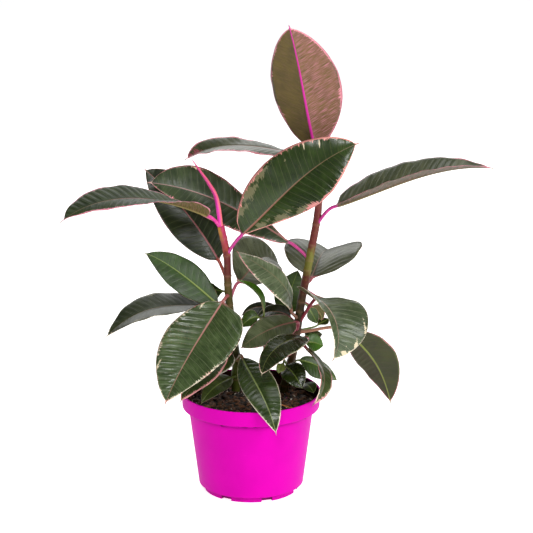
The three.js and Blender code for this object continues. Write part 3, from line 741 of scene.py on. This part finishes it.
def grain_material(name, dark, light, scale, rough=0.85, extra="1a1008"):
    """Bark, compost, perlite and other rough bits: mottled, pitted and matt."""
    g = Graph(name)
    place = g.attribute("bitA")
    coarse = g.noise(place, scale, 4.0)
    fine = g.noise(place, scale * 5, 3.0)
    tone = g.mix(g.step(coarse, 0.35, 0.65), dark, light)
    tone = g.mix(g.step(fine, 0.5, 0.7, 0.0, 0.7), tone, extra)
    g.set(Base_Color=tone, Roughness=rough)
    g.bump(g.add(coarse, fine), 0.8, 0.001)
    return g.material


# ---- Meshes -------------------------------------------------------------------------------


def unit(v):
    """v, or each row of v, at length 1."""
    return v / np.maximum(np.linalg.norm(v, axis=-1, keepdims=True), 1e-9)


def smooth(x, low, high):
    """0 below low, 1 above high, and an even S between."""
    t = np.clip((np.asarray(x, float) - low) / (high - low), 0, 1)
    return t * t * (3 - 2 * t)


def through(points):
    """Control points of the cubic Bezier that passes through four points at even steps."""
    a, b, c, d = np.array(points, float) * GROW
    second = (-5 * a + 18 * b - 9 * c + 2 * d) / 6
    third = (2 * a - 9 * b + 18 * c - 5 * d) / 6
    return np.array([a, second, third, d])


def bezier(control, t):
    """Points and unit tangents of a cubic Bezier."""
    t = np.asarray(t, float)[:, None]
    s = 1 - t
    a, b, c, d = control
    point = s**3 * a + 3 * s * s * t * b + 3 * s * t * t * c + t**3 * d
    slope = s * s * (b - a) + 2 * s * t * (c - b) + t * t * (d - c)
    return point, unit(slope)


def axes(direction, up):
    """Unit vectors across a path and above it, both square to its direction."""
    above = unit(up - (direction * up).sum(axis=-1, keepdims=True) * direction)
    return np.cross(direction, above), above


def resample(path, step):
    """A path through these points by Catmull-Rom, with a point about every `step` mm."""
    points = np.array(path, float)
    ghost = np.vstack([2 * points[0] - points[1], points, 2 * points[-1] - points[-2]])
    out = []
    for i in range(1, len(ghost) - 2):
        a, b, c, d = ghost[i - 1 : i + 3]
        count = max(2, int(np.linalg.norm(c - b) / step))
        t = np.linspace(0, 1, count, endpoint=False)[:, None]
        bend = (2 * a - 5 * b + 4 * c - d) * t * t + (3 * b - 3 * c + d - a) * t**3
        out.append(b + 0.5 * ((c - a) * t + bend))
    return np.vstack(out + [points[-1:]])


def sweep(middle, size, turn, across, above):
    """Rings of points round a path, each `size` from its middle at every angle in turn."""
    return (
        middle[:, None]
        + (size * np.cos(turn))[..., None] * across[:, None]
        + (size * np.sin(turn))[..., None] * above[:, None]
    )


def rings_to_faces(rings, around):
    """Quads between closed rings of points, and a fan over each end."""
    faces = []
    for i in range(rings - 1):
        low = i * around
        for j in range(around):
            k = (j + 1) % around
            faces.append((low + j, low + k, low + around + k, low + around + j))
    first = rings * around
    for j in range(around):
        k = (j + 1) % around
        faces.append((first, k, j))
        faces.append((first + 1, (rings - 1) * around + j, (rings - 1) * around + k))
    return faces


def piece(name, points, faces, materials, base=0.0, attributes=None, indices=None):
    """A mesh object from points in mm, standing `base` mm above the ground."""
    mesh = bpy.data.meshes.new(name)
    points = (np.asarray(points, float) + (0, 0, base)) * MM
    mesh.from_pydata(points.tolist(), [], faces)
    for label, values in (attributes or {}).items():
        layer = mesh.attributes.new(label, "FLOAT_VECTOR", "POINT")
        layer.data.foreach_set("vector", np.asarray(values, np.float32).ravel())
    mesh.polygons.foreach_set("use_smooth", [True] * len(mesh.polygons))
    for material in materials:
        mesh.materials.append(material)
    if indices is not None:
        mesh.polygons.foreach_set("material_index", indices)
    mesh.validate()
    mesh.update()
    made = bpy.data.objects.new(name, mesh)
    bpy.context.scene.collection.objects.link(made)
    return made


def stem_path(stem):
    """The middle of a stem about every 1.5 mm and its radius there, from in the soil upwards."""
    path = [np.array(point, float) * GROW for point in stem["path"]]
    path.insert(0, path[0] + unit(path[0] - path[1]) * stem["buried"])
    middle = resample(path, 1.5)
    step = np.linalg.norm(np.diff(middle, axis=0), axis=1)
    run = np.concatenate([[0], np.cumsum(step)])
    foot = stem["buried"]
    along = np.clip((run - foot) / (run[-1] - foot), 0, 1)
    return middle, stem["foot"] + (stem["tip"] - stem["foot"]) * along


def stem_at(name, height):
    """Middle, direction and radius of a stem at a height above the rim plane."""
    middle, radius = stem_path(STEMS[name])
    i = int(np.clip(np.searchsorted(middle[:, 2], height), 1, len(middle) - 1))
    return middle[i], unit(middle[i] - middle[i - 1]), radius[i]


SIDE = 13  # points from the midrib to each margin
VEIN_SLANT = 0.42  # how far a side vein runs forward for each mm outward
THICK = 0.55  # of the blade
MORPH = 9  # mm over which the round stalk spreads into the blade
LARGE_BLADE = 70  # blades longer than this have the thick stalk and the wide vein gap
STALK_LARGE, STALK_SMALL = 2, 1.2  # radii
VEINS_LARGE, VEINS_SMALL = 8.5, 6  # mm between side veins
BODY_SHARE = 0.965  # of the midrib, where the rounded body of the leaf ends
DRIP_TIP = 0.08  # half width of the narrow tip, as a share of the leaf's own


def outline(u, peak, full):
    """How wide a leaf is at u along its midrib, as a share of its widest."""
    t = np.clip(u / BODY_SHARE, 0, 1)
    bulge = np.sin(np.pi * t ** (math.log(0.5) / math.log(peak)))
    drip = np.where(u > 0.5, DRIP_TIP * np.minimum((1 - u) / 0.1, 1), 0)
    return (np.maximum(bulge, 0) ** (4 * full) + drip**4) ** 0.25


def vein_phase(along, across, gap, seed):
    """Counts side veins along the leaf; whole numbers are on a vein."""
    wobble = 0.18 * np.sin(along / 17 + seed) + 0.12 * np.sin(across / 6 + seed * 1.7)
    return (along - VEIN_SLANT * np.abs(across) - 0.004 * across**2) / gap + wobble


def leaf_path(leaf):
    """Everything along a leaf's middle line, from inside its stem to its tip: points, axes, mm
    from the blade's base, share of the blade, the blade's length and the stalk's radius."""
    control = through(leaf["rib"])
    rough_run = bezier(control, np.linspace(0, 1, 40))[0]
    length = float(np.linalg.norm(np.diff(rough_run, axis=0), axis=1).sum())
    large = length > LARGE_BLADE * GROW
    thin = STALK_LARGE if large else STALK_SMALL
    up = np.array(leaf["up"], float)
    joint, direction, radius = stem_at(leaf["stem"], leaf["leaves_at"] * GROW)
    base, forward = (row[0] for row in bezier(control, [0.0]))
    ahead = direction if leaf.get("crown") else unit(base - joint)
    start = joint - 2 * direction if leaf.get("crown") else joint + ahead * radius * 0.5
    run = np.linalg.norm(base - start)
    stalk = np.array([start, start + ahead * run / 3, base - forward * run / 3, base])

    count = max(5, int(run / 2))
    stalk_t = np.linspace(0, 1, count, endpoint=False)
    blade_u = np.linspace(0, 0.996, int(length / (1.6 if large else 1.1)))
    stalk_point, stalk_way = bezier(stalk, stalk_t)
    blade_point, blade_way = bezier(control, blade_u)
    up_tip = np.array(leaf.get("up_tip", leaf["up"]), float)
    blade_up = up + (up_tip - up) * blade_u[:, None]
    all_up = np.vstack([np.tile(up, (count, 1)), blade_up])
    across, above = axes(np.vstack([stalk_way, blade_way]), all_up)
    # The stalk's own frames turn as little as they can, from the blade back to the stem.
    for i in range(count - 1, -1, -1):
        across[i], above[i] = axes(stalk_way[i : i + 1], above[i + 1])
    u = np.concatenate([np.zeros(count), blade_u])
    along = np.concatenate([(stalk_t - 1) * run, blade_u * length])
    # The stalk widens where it joins the stem, and the round section narrows along the blade.
    flare = 1 + 0.7 * np.exp(-(along + run) / 2.5) if not leaf.get("crown") else 1
    tube = thin * (1 - 0.4 * u) * flare
    middle = np.vstack([stalk_point, blade_point])
    return middle, across, above, along, u, length, thin, tube


def blade_half(leaf, side, u, rib):
    """Half a blade, as offsets from its midrib: across, above, mm out along the surface, share
    of the half width, and mm in from the margin."""
    peak = leaf.get("peak", (0.48, 0.48))[side]
    full = leaf.get("full", (0.72, 0.72))[side]
    width = GROW * leaf["half"][side] * outline(u, peak, full)
    near = np.array([0, 0.45, 0.9, 1.5])
    out = np.minimum(near * rib[:, None], width[:, None] * np.arange(4) / SIDE)
    rest = (np.arange(4, SIDE + 1) - 3) / (SIDE - 3)
    out = np.hstack([out, out[:, 3:] + (width[:, None] - out[:, 3:]) * rest])
    share = out / np.maximum(width, 1e-6)[:, None]
    fold = leaf["fold"]
    ends = np.radians([fold[side], fold[side + 2] if len(fold) > 2 else fold[side]])
    lean = (ends[0] + (ends[1] - ends[0]) * u)[:, None]
    curl = math.radians(leaf.get("curl", (-8, -8))[side])
    away = (np.sin(lean + curl * share) - np.sin(lean)) / curl * width[:, None]
    rise = (np.cos(lean) - np.cos(lean + curl * share)) / curl * width[:, None]
    return away, rise, out, share, width[:, None] - out


def leaf_piece(name, leaf, look, seed):
    """One leaf: a round stalk that starts inside the stem and spreads into a thin blade."""
    middle, across, above, along, u, length, thin, tube = leaf_path(leaf)
    large = thin == STALK_LARGE

    # The round section, which the whole stalk has and the blade's base grows out of.
    top_turn = np.pi / 2 * (1 - np.arange(-SIDE, SIDE + 1) / SIDE)
    low_turn = -np.pi / 2 * (1 - np.arange(SIDE - 1, -SIDE, -1) / SIDE)
    turn = np.concatenate([top_turn, low_turn])
    tube_ring = sweep(middle, tube[:, None], turn, across, above)

    # The blade's middle surface, half by half.
    rib = thin * 0.8 * (1 - 0.8 * u) + 0.15
    halves = []
    for side, sign in ((0, -1), (1, 1)):
        away, rise, out, share, from_margin = blade_half(leaf, side, u, rib)
        place = middle[:, None] + (sign * away)[..., None] * across[:, None]
        place = place + rise[..., None] * above[:, None]
        halves.append((place, sign * out, share, from_margin))
    flip = slice(None, 0, -1)
    surface, x, v, inset = (np.concatenate([a[:, flip], b], axis=1) for a, b in zip(*halves))

    # Which way the surface looks, from its own slopes.
    down_leaf = np.gradient(surface, axis=0)
    over_leaf = np.gradient(surface, axis=1)
    normal = unit(np.cross(over_leaf, down_leaf))
    flip_sign = np.sign((normal * above[:, None]).sum(axis=2, keepdims=True))
    spread = smooth(along, 0, MORPH)[:, None, None]
    normal = normal * np.where(flip_sign == 0, 1, flip_sign)
    normal = unit(normal * spread + above[:, None] * (1 - spread))

    # Bulges between the side veins, a wavy margin and a slow wobble.
    station = along[:, None] + 0 * x
    gap = VEINS_LARGE if large else VEINS_SMALL
    phase = vein_phase(station, x, gap, seed)
    inner = smooth(np.abs(x), 1, 8) * smooth(inset, 0, 6) * smooth(station, 0, 20)
    inner = inner * smooth(length - station, 0, 20)
    pillow = np.abs(np.sin(np.pi * phase)) ** 0.8 - 0.6
    lift = look["waves"] * inner * pillow * (1 if large else 0.6)
    wave = np.sin(station / 6.1 + seed + x / 30) + 0.7 * np.sin(station / 3.7 + 2 * seed - x / 40)
    size = look["ruffle"] * (1 if large else 0.5)
    lift = lift + size * 0.6 * wave * np.abs(v) ** 3 * smooth(station, 0, 15)
    wobble = np.sin(station / 14 + seed * 2) * np.sin(x / 11 + seed)
    lift = lift + 0.5 * wobble * smooth(np.abs(x), 0, 9)

    # The two faces, with a groove over the midrib and ridges under it and under the side veins.
    half = THICK / 2 * np.sqrt(np.maximum(1 - np.abs(v) ** 5, 0.02))
    closeness = np.exp(-((x / np.maximum(rib, 0.2)[:, None]) ** 2))
    groove = 0.35 * closeness * (1 - u)[:, None]
    ridge = thin * 1.25 * (1 - 0.85 * u)[:, None] * np.exp(-((x / (1.2 * rib[:, None])) ** 2))
    ridge = ridge + 0.18 * inner * np.exp(-((np.sin(np.pi * phase) / 0.25) ** 2))
    upper = surface + (lift + half - groove)[..., None] * normal
    lower = surface + (lift - half - ridge)[..., None] * normal
    back = slice(-2, 0, -1)
    blade_ring = np.concatenate([upper, lower[:, back]], axis=1)
    ring = tube_ring + (blade_ring - tube_ring) * spread

    def both(grid):
        return np.concatenate([grid, grid[:, back]], axis=1)

    # What the leaf's nodes read at each point.
    edge = np.minimum(inset, (length - station) * 0.6)
    is_top = np.concatenate([np.ones_like(x), np.zeros_like(x)[:, back]], axis=1)
    stalkness = np.broadcast_to(1 - spread[..., 0], is_top.shape)
    leaf_a = np.stack([both(station), both(x), both(edge)], axis=2) / 100
    leaf_b = np.stack([both(u[:, None] + 0 * x), is_top, stalkness], axis=2)
    ends_a = np.array([leaf_a[0, 0], leaf_a[-1, SIDE]])
    ends_b = np.array([leaf_b[0, 0], leaf_b[-1, SIDE]])

    spots = []
    for at, share, long, wide, code in look["spots"]:
        half_width = np.interp(at, u, halves[0 if share < 0 else 1][3][:, 0])
        spots.append((at * length, share * half_width, long, wide, code))
    tip = bezier(through(leaf["rib"]), [1.0])[0]
    return piece(
        "plant_leaf_" + name,
        np.vstack([ring.reshape(-1, 3), middle[:1], tip]),
        rings_to_faces(len(ring), 4 * SIDE),
        [leaf_material(name, look, seed, gap, spots)],
        base=RIM_Z,
        attributes={
            "leafA": np.vstack([leaf_a.reshape(-1, 3), ends_a]),
            "leafB": np.vstack([leaf_b.reshape(-1, 3), ends_b]),
        },
    )


# ---- Stems, pot and soil ------------------------------------------------------------------


def tube_piece(name, middle, radius, material, rings=(), groove=None, around=40):
    """A round stem along a path, with leaf scars at the heights in rings, or with one long seam
    that is `groove` deep."""
    run = np.concatenate([[0], np.cumsum(np.linalg.norm(np.diff(middle, axis=0), axis=1))])
    way = unit(np.gradient(middle, axis=0))
    across, above = axes(way, np.array([0.0, -1.0, 0.02]))
    scar = np.zeros(len(middle))
    for height in rings:
        scar += np.exp(-(((middle[:, 2] - height) / 1.3) ** 2))
    lumps = [noise.noise(Vector((r / 14, radius[0], 3))) for r in run]
    size = radius * (1 + 0.05 * np.array(lumps)) + 0.55 * np.minimum(scar, 1)
    turn = np.arange(around) * 2 * np.pi / around
    seam = np.exp(-(((turn[None] - np.pi * 0.8) / 0.12) ** 2)) * np.ones((len(run), 1))
    ribbing = 1 + 0.025 * np.sin(5 * turn[None] + run[:, None] / 40)
    wide = size[:, None] * ribbing
    if groove:
        wide = wide * (1 - groove * seam)
    ring = sweep(middle, wide, turn, across, above)
    facing = across[:, None, 0] * np.cos(turn) + above[:, None, 0] * np.sin(turn)
    height = middle[:, 2, None] / 100 + 0 * facing
    if groove:
        height = run[:, None] / 100 + 0 * facing
    mark = seam if groove else np.minimum(scar, 1)[:, None] + 0 * facing
    values = np.stack([height, facing, mark], axis=2).reshape(-1, 3)
    ends = np.vstack([middle[:1] - way[0] * 0.2, middle[-1:] + way[-1] * radius[-1] * 0.7])
    points = np.vstack([ring.reshape(-1, 3), ends])
    values = np.vstack([values, values[:1], values[-1:]])
    return piece(
        name,
        points,
        rings_to_faces(len(ring), around),
        [material],
        base=RIM_Z,
        attributes={"stemA": values, "stemB": points / 100},
    )


def rounded(profile, reach, count=5):
    """A profile with each corner rounded off, except at the two ends."""
    points = [np.array(p, float) for p in profile]
    out = [points[0]]
    for before, corner, after in zip(points, points[1:], points[2:]):
        near = min(reach, 0.45 * np.linalg.norm(before - corner))
        far = min(reach, 0.45 * np.linalg.norm(after - corner))
        start = corner + unit(before - corner) * near
        end = corner + unit(after - corner) * far
        for t in np.linspace(0, 1, count):
            out.append((1 - t) ** 2 * start + 2 * t * (1 - t) * corner + t * t * end)
    return np.array(out + [points[-1]])


def lathe(profile, around):
    """Points and faces of a turned solid whose profile starts and ends on the axis."""
    turn = np.arange(around) * 2 * np.pi / around
    body = profile[1:-1]
    ring = np.stack(
        [body[:, :1] * np.cos(turn), body[:, :1] * np.sin(turn), body[:, 1:] + 0 * turn], axis=2
    )
    ends = [(0, 0, profile[0][1]), (0, 0, profile[-1][1])]
    return np.vstack([ring.reshape(-1, 3), ends]), rings_to_faces(len(body), around)


def wall_radius(z):
    """Outer radius of the pot's body at height z."""
    top = RIM_Z - POT["collar"]
    share = (z - POT["foot_height"]) / (top - POT["foot_height"])
    low = POT["body_foot_radius"]
    return low + (RIM_RADIUS - POT["collar_step"] - low) * share


def inside_radius(z):
    """Radius of the pot's inside at height z, up to the top of the collar's slope."""
    step = RIM_Z - POT["collar"]
    if z < step:
        return wall_radius(z) - POT["wall"]
    share = min((z - step) / POT["collar_slope"], 1)
    return wall_radius(step) - POT["wall"] + (POT["collar_step"] - POT["collar_taper"]) * share


POT_AROUND = 224  # points round the pot
POT_ROUNDING = 1.1
NOTCH_DEEP = 12
NOTCH_ROUNDING = 1.6


def cut_notches(pot):
    """Drain notches round the foot, each the shape of a bevelled box."""
    foot = POT["foot_radius"] * MM
    for i in range(POT["notches"]):
        turn = math.radians(POT["notch_angle"] + i * 360 / POT["notches"])
        bpy.ops.mesh.primitive_cube_add(size=1)
        cutter = bpy.context.object
        cutter.scale = (POT["notch_width"] * MM, NOTCH_DEEP * MM, 2 * POT["notch_height"] * MM)
        cutter.location = (math.sin(turn) * foot, -math.cos(turn) * foot, 0)
        cutter.rotation_euler = (0, 0, turn)
        bevel = cutter.modifiers.new("round", "BEVEL")
        bevel.width = NOTCH_ROUNDING * MM
        bevel.segments = 4
        cut = pot.modifiers.new("notch", "BOOLEAN")
        cut.operation = "DIFFERENCE"
        cut.solver = "EXACT"
        cut.object = cutter
        bpy.context.view_layer.objects.active = pot
        bpy.context.view_layer.update()
        bpy.ops.object.modifier_apply(modifier=cut.name)
        bpy.data.objects.remove(cutter)


def make_pot():
    """The pot, a turned shell with notches cut into its foot."""
    step = RIM_Z - POT["collar"]
    neck = RIM_RADIUS - POT["collar_step"]
    foot, foot_z, wall = POT["foot_radius"], POT["foot_height"], POT["wall"]
    slope_top = step + POT["collar_slope"]
    band = RIM_RADIUS - POT["collar_taper"]
    profile = [
        (0, 0),
        (foot, 0),
        (foot, foot_z),
        (POT["body_foot_radius"], foot_z),
        (neck - 0.7, step),
        (neck, step),
        (band, slope_top),
        (RIM_RADIUS, RIM_Z - 0.4),
        (RIM_RADIUS - 1, RIM_Z),
        (RIM_RADIUS - wall, RIM_Z - 0.6),
        (RIM_RADIUS - wall, RIM_Z - 3),
        (band - wall, slope_top),
        (neck - wall, step),
        (wall_radius(foot_z + wall) - wall, foot_z + wall),
        (foot - wall, foot_z),
        (foot - wall, POT["floor"]),
        (0, POT["floor"]),
    ]
    points, faces = lathe(rounded(profile, POT_ROUNDING), POT_AROUND)
    pot = piece("plant_pot", points, faces, [pot_material()])
    cut_notches(pot)
    # What the plastic's nodes read: inside or outside, height and turn, and the place itself.
    where = np.empty(len(pot.data.vertices) * 3)
    pot.data.vertices.foreach_get("co", where)
    where = where.reshape(-1, 3)
    distance = np.hypot(where[:, 0], where[:, 1]) / MM
    height = where[:, 2] / MM
    levels = [0, foot_z - 0.5, foot_z + 0.5, step, slope_top, RIM_Z]
    outside = np.interp(
        height, levels, [foot, foot, POT["body_foot_radius"], neck, band, RIM_RADIUS]
    )
    outside -= wall / 2
    inner = ((distance < outside) & (height > 1) & (height < RIM_Z - 1)).astype(float)
    turn = np.arctan2(where[:, 1], where[:, 0])
    kind = np.stack([inner, where[:, 2], turn], axis=1)
    for label, values in (("potA", kind), ("potB", where)):
        layer = pot.data.attributes.new(label, "FLOAT_VECTOR", "POINT")
        layer.data.foreach_set("vector", values.astype(np.float32).ravel())
    pot.data.polygons.foreach_set("use_smooth", [True] * len(pot.data.polygons))
    pot.data.set_sharp_from_angle(angle=math.radians(35))
    return pot


def lump(rng, size):
    """A rough bit of bark or stone: the ball, squashed and dented."""
    points, faces = BALL
    shift = rng.random() * 50
    made = []
    for p in points:
        dent = 1 + 0.45 * noise.noise(Vector(p) * 1.4 + Vector((shift, shift, 0)))
        made.append([p[i] * size[i] * dent for i in range(3)])
    return np.array(made), faces


def ball():
    """Points and faces of a sphere of radius 1 with 42 points."""
    bpy.ops.mesh.primitive_ico_sphere_add(subdivisions=2, radius=1)
    made = bpy.context.object
    points = [tuple(v.co) for v in made.data.vertices]
    faces = [tuple(p.vertices) for p in made.data.polygons]
    bpy.data.objects.remove(made)
    return points, faces


BALL = ball()


def ground_height(x, y):
    """Height of the soil's surface, with the crumbs of the mix."""
    far = math.hypot(x, y) / (inside_radius(RIM_Z - SOIL_DROP) - 1)
    coarse = noise.noise(Vector((x / 11, y / 11, 1)))
    fine = noise.noise(Vector((x / 4, y / 4, 5)))
    crumbs = 2.4 * coarse + 1.3 * fine
    return RIM_Z - SOIL_DROP + SOIL_DOME * (1 - far**2) + crumbs - 0.5


SOIL_AROUND = 150  # points round the soil
SOIL_RINGS = 46  # from its edge to its middle
# The bits on the soil: how many, smallest and biggest half length, and flatness.
SOIL_BITS = (
    (430, 2.2, 5.5, 0.45),
    (300, 1.6, 4.0, 0.35),
    (150, 0.5, 1.5, 0.9),
    (150, 1.5, 4.2, 0.22),
    (10, 1.0, 1.8, 0.5),
)
TWIG = ((24, -16, 0), (33, -22, 1.5), (44, -25, 1), (55, -32, 2))  # heights over the soil


def soil_body(radius):
    """The compost itself, whose top is a crumbly dome."""
    edge = RIM_Z - SOIL_DROP
    step = min(edge, RIM_Z - POT["collar"])
    gap = POT["wall"] + SOIL_GAP
    foot = POT["foot_radius"] - gap
    side = [
        (0, POT["floor"] + SOIL_GAP),
        (foot, POT["floor"] + SOIL_GAP),
        (foot, POT["foot_height"] + SOIL_GAP),
        (wall_radius(POT["foot_height"] + gap) - gap, POT["foot_height"] + gap),
        (inside_radius(step) - SOIL_GAP, step - 1),
    ]
    dome = [(radius * (1 - i / SOIL_RINGS), edge) for i in range(SOIL_RINGS)]
    points, faces = lathe(np.array(side + dome + [(0, edge)]), SOIL_AROUND)
    low = len(points) - 2 - SOIL_AROUND * len(dome)
    for i in list(range(low, len(points) - 2)) + [len(points) - 1]:
        points[i][2] = ground_height(points[i][0], points[i][1])
    return points, faces


def soil_bit(rng, radius, small, big, flatness):
    """One bit, lying anywhere on the soil."""
    away = (radius - 3) * math.sqrt(rng.random())
    turn = rng.random() * 2 * math.pi
    x, y = away * math.cos(turn), away * math.sin(turn)
    length = small + (big - small) * rng.random() ** 2
    shape, faces = lump(rng, (length, length * rng.uniform(0.4, 0.9), length * flatness))
    spin = rng.random() * 2 * math.pi
    tilt = rng.uniform(-0.5, 0.5)
    c, s = math.cos(spin), math.sin(spin)
    shape[:, 2] += shape[:, 0] * math.sin(tilt)
    shape[:, :2] = shape[:, :2] @ np.array([[c, s], [-s, c]])
    shape += (x, y, ground_height(x, y) + length * flatness * 0.35)
    return shape, faces


def soil_twig():
    """A thin orange twig that lies near the front of the stems."""
    path = resample(TWIG, 1.5)
    path[:, 2] += [ground_height(x, y) + 1.2 for x, y in path[:, :2]]
    across, above = axes(unit(np.gradient(path, axis=0)), np.array([0.0, 0.0, 1.0]))
    girth = np.linspace(1.1, 0.6, len(path))[:, None]
    ring = sweep(path, girth, np.arange(8) * np.pi / 4, across, above)
    return np.vstack([ring.reshape(-1, 3), path[:1], path[-1:]]), rings_to_faces(len(ring), 8)


def make_soil():
    """The compost with bark chips, bark dust, perlite, flakes, pink bits and a twig on it."""
    rng = random.Random(11)
    radius = inside_radius(RIM_Z - SOIL_DROP) - SOIL_GAP
    parts = [(0, *soil_body(radius))]
    for slot_number, (amount, *shape) in enumerate(SOIL_BITS, 1):
        for _ in range(amount):
            parts.append((slot_number, *soil_bit(rng, radius, *shape)))
    parts.append((len(SOIL_BITS) + 1, *soil_twig()))
    all_faces = []
    index = []
    total = 0
    for slot_number, points, faces in parts:
        all_faces += [tuple(k + total for k in face) for face in faces]
        index += [slot_number] * len(faces)
        total += len(points)
    points = np.vstack([part[1] for part in parts])
    materials = [
        grain_material("compost", "080503", "1e1108", 30.0),
        grain_material("bark_chips", "2a180c", "6a4224", 22.0, 0.8),
        grain_material("bark_dust", "0e0804", "301b0e", 30.0),
        grain_material("perlite", "b8b0a2", "e6ded2", 40.0, 0.9, "8a7e6c"),
        grain_material("bark_flakes", "4a2418", "7a4a30", 26.0, 0.75),
        grain_material("pink_bits", "a01a66", "d84a98", 30.0, 0.7, "70184a"),
        grain_material("twig", "a05a28", "d08a48", 20.0, 0.6, "6a3818"),
    ]
    attributes = {"bitA": points / 100}
    return piece("plant_soil", points, all_faces, materials, 0.0, attributes, index)


# ---- The object ---------------------------------------------------------------------------

# Heights of the leaf scars on each stem.
SCARS = {
    "right": (-4, 26, 64, 92, 104, 144, 157, 176, 202, 230, 284),
    "left": (6, 38, 92, 106, 132, 143, 168, 190),
    "shoot": (20, 46, 70),
}

pot = make_pot()
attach(pot, "root")
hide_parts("pot")

soil = make_soil()
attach(soil, "root")
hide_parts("soil")

for name, stem in STEMS.items():
    middle, radius = stem_path(stem)
    bark = stem_material("bark_" + name, stem)
    made = tube_piece("plant_stem_" + name, middle, radius, bark, SCARS[name])
    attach(made, "root")
    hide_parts("stem_" + name)

# The sheath starts inside the stem's top.
top, way, _ = stem_at(SHEATH["on"], math.inf)
sheath_path = [top - way * 3, top + way] + [np.array(p) * GROW for p in SHEATH["path"]]
sheath_middle = resample(sheath_path, 1.0)
sheath_share = np.linspace(0, 1, len(sheath_middle))
knots = np.linspace(0, 1, len(SHEATH["widths"]))
sheath_width = np.interp(sheath_share, knots, np.array(SHEATH["widths"]) * 0.85)
sheath = tube_piece(
    "plant_bud_sheath", sheath_middle, sheath_width, sheath_material(), groove=0.14
)
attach(sheath, "root")
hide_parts("bud_sheath")

for seed, (name, leaf) in enumerate(LEAVES.items()):
    look = {**PLAIN, **LOOKS[name]}
    made = leaf_piece(name, leaf, look, seed)
    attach(made, "root")
    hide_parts("leaf_" + name)


# ---- Floor, light and camera --------------------------------------------------------------


MIDDLE = (0.03, 0.0, 0.3)  # where the lights point, in metres
# Place, width and height, and power.
LIGHTS = {
    "right_front": ((1.6, -1.5, 1.4), (1.2, 1.2), 42),
    "front": ((-0.35, -2.1, 1.8), (0.3, 0.6), 22),
    "overhead": ((0.2, 0.3, 2.5), (1.6, 1.2), 22),
    "backdrop": ((0.0, 1.9, 1.2), (2.6, 1.0), 18),
}
WORLD_STRENGTH = 0.12
FLOOR_GLOW = 0.8
FLOOR_HALF = 14.0
FLOOR_DROP = 0.0004  # so that the pot's foot doesn't lie in the floor
CAMERA_PLACE = (0.019, -3.0, 1.140)
CAMERA_DOWN = 15.96  # degrees below level
CAMERA_LENS = 174.66


def area_light(name, place, size, power):
    """A soft light that points at the plant."""
    data = bpy.data.lights.new(name, "AREA")
    data.shape = "RECTANGLE"
    data.size, data.size_y = size
    data.energy = power
    light = bpy.data.objects.new(name, data)
    light.location = place
    light.rotation_euler = (Vector(MIDDLE) - Vector(place)).to_track_quat("-Z", "Y").to_euler()
    bpy.context.scene.collection.objects.link(light)


def make_floor():
    """A plain pale sheet under the pot, far wider than the view."""
    g = Graph("pale_floor")
    node = g.tree.nodes.new("ShaderNodeTexCoord")
    grain = g.noise(node.outputs["Object"], 3.0, 3.0)
    g.set(Base_Color=g.mix(grain, "f6f6f6", "ffffff"), Roughness=0.9)
    g.shader.inputs["Emission Color"].default_value = (1, 1, 1, 1)
    g.shader.inputs["Emission Strength"].default_value = FLOOR_GLOW
    square = ((-1, -1), (1, -1), (1, 1), (-1, 1))
    corners = [(x * FLOOR_HALF, y * FLOOR_HALF, -FLOOR_DROP) for x, y in square]
    mesh = bpy.data.meshes.new("floor")
    mesh.from_pydata(corners, [], [(0, 1, 2, 3)])
    mesh.materials.append(g.material)
    floor = bpy.data.objects.new("floor", mesh)
    bpy.context.scene.collection.objects.link(floor)
    return floor


make_floor()

scene = bpy.context.scene
world = bpy.data.worlds.new("studio")
world.use_nodes = True
world.node_tree.nodes["Background"].inputs["Color"].default_value = (1, 1, 1, 1)
world.node_tree.nodes["Background"].inputs["Strength"].default_value = WORLD_STRENGTH
scene.world = world

for name, (place, size, power) in LIGHTS.items():
    area_light(name, place, size, power)

camera_data = bpy.data.cameras.new("camera")
camera_data.sensor_width = 36
camera_data.lens = CAMERA_LENS
camera_data.clip_end = 60
camera = bpy.data.objects.new("camera", camera_data)
camera.location = CAMERA_PLACE
camera.rotation_euler = (math.radians(90 - CAMERA_DOWN), 0, 0)
scene.collection.objects.link(camera)
scene.camera = camera

scene.view_settings.view_transform = "Standard"
scene.view_settings.look = "None"
scene.view_settings.exposure = 0.0
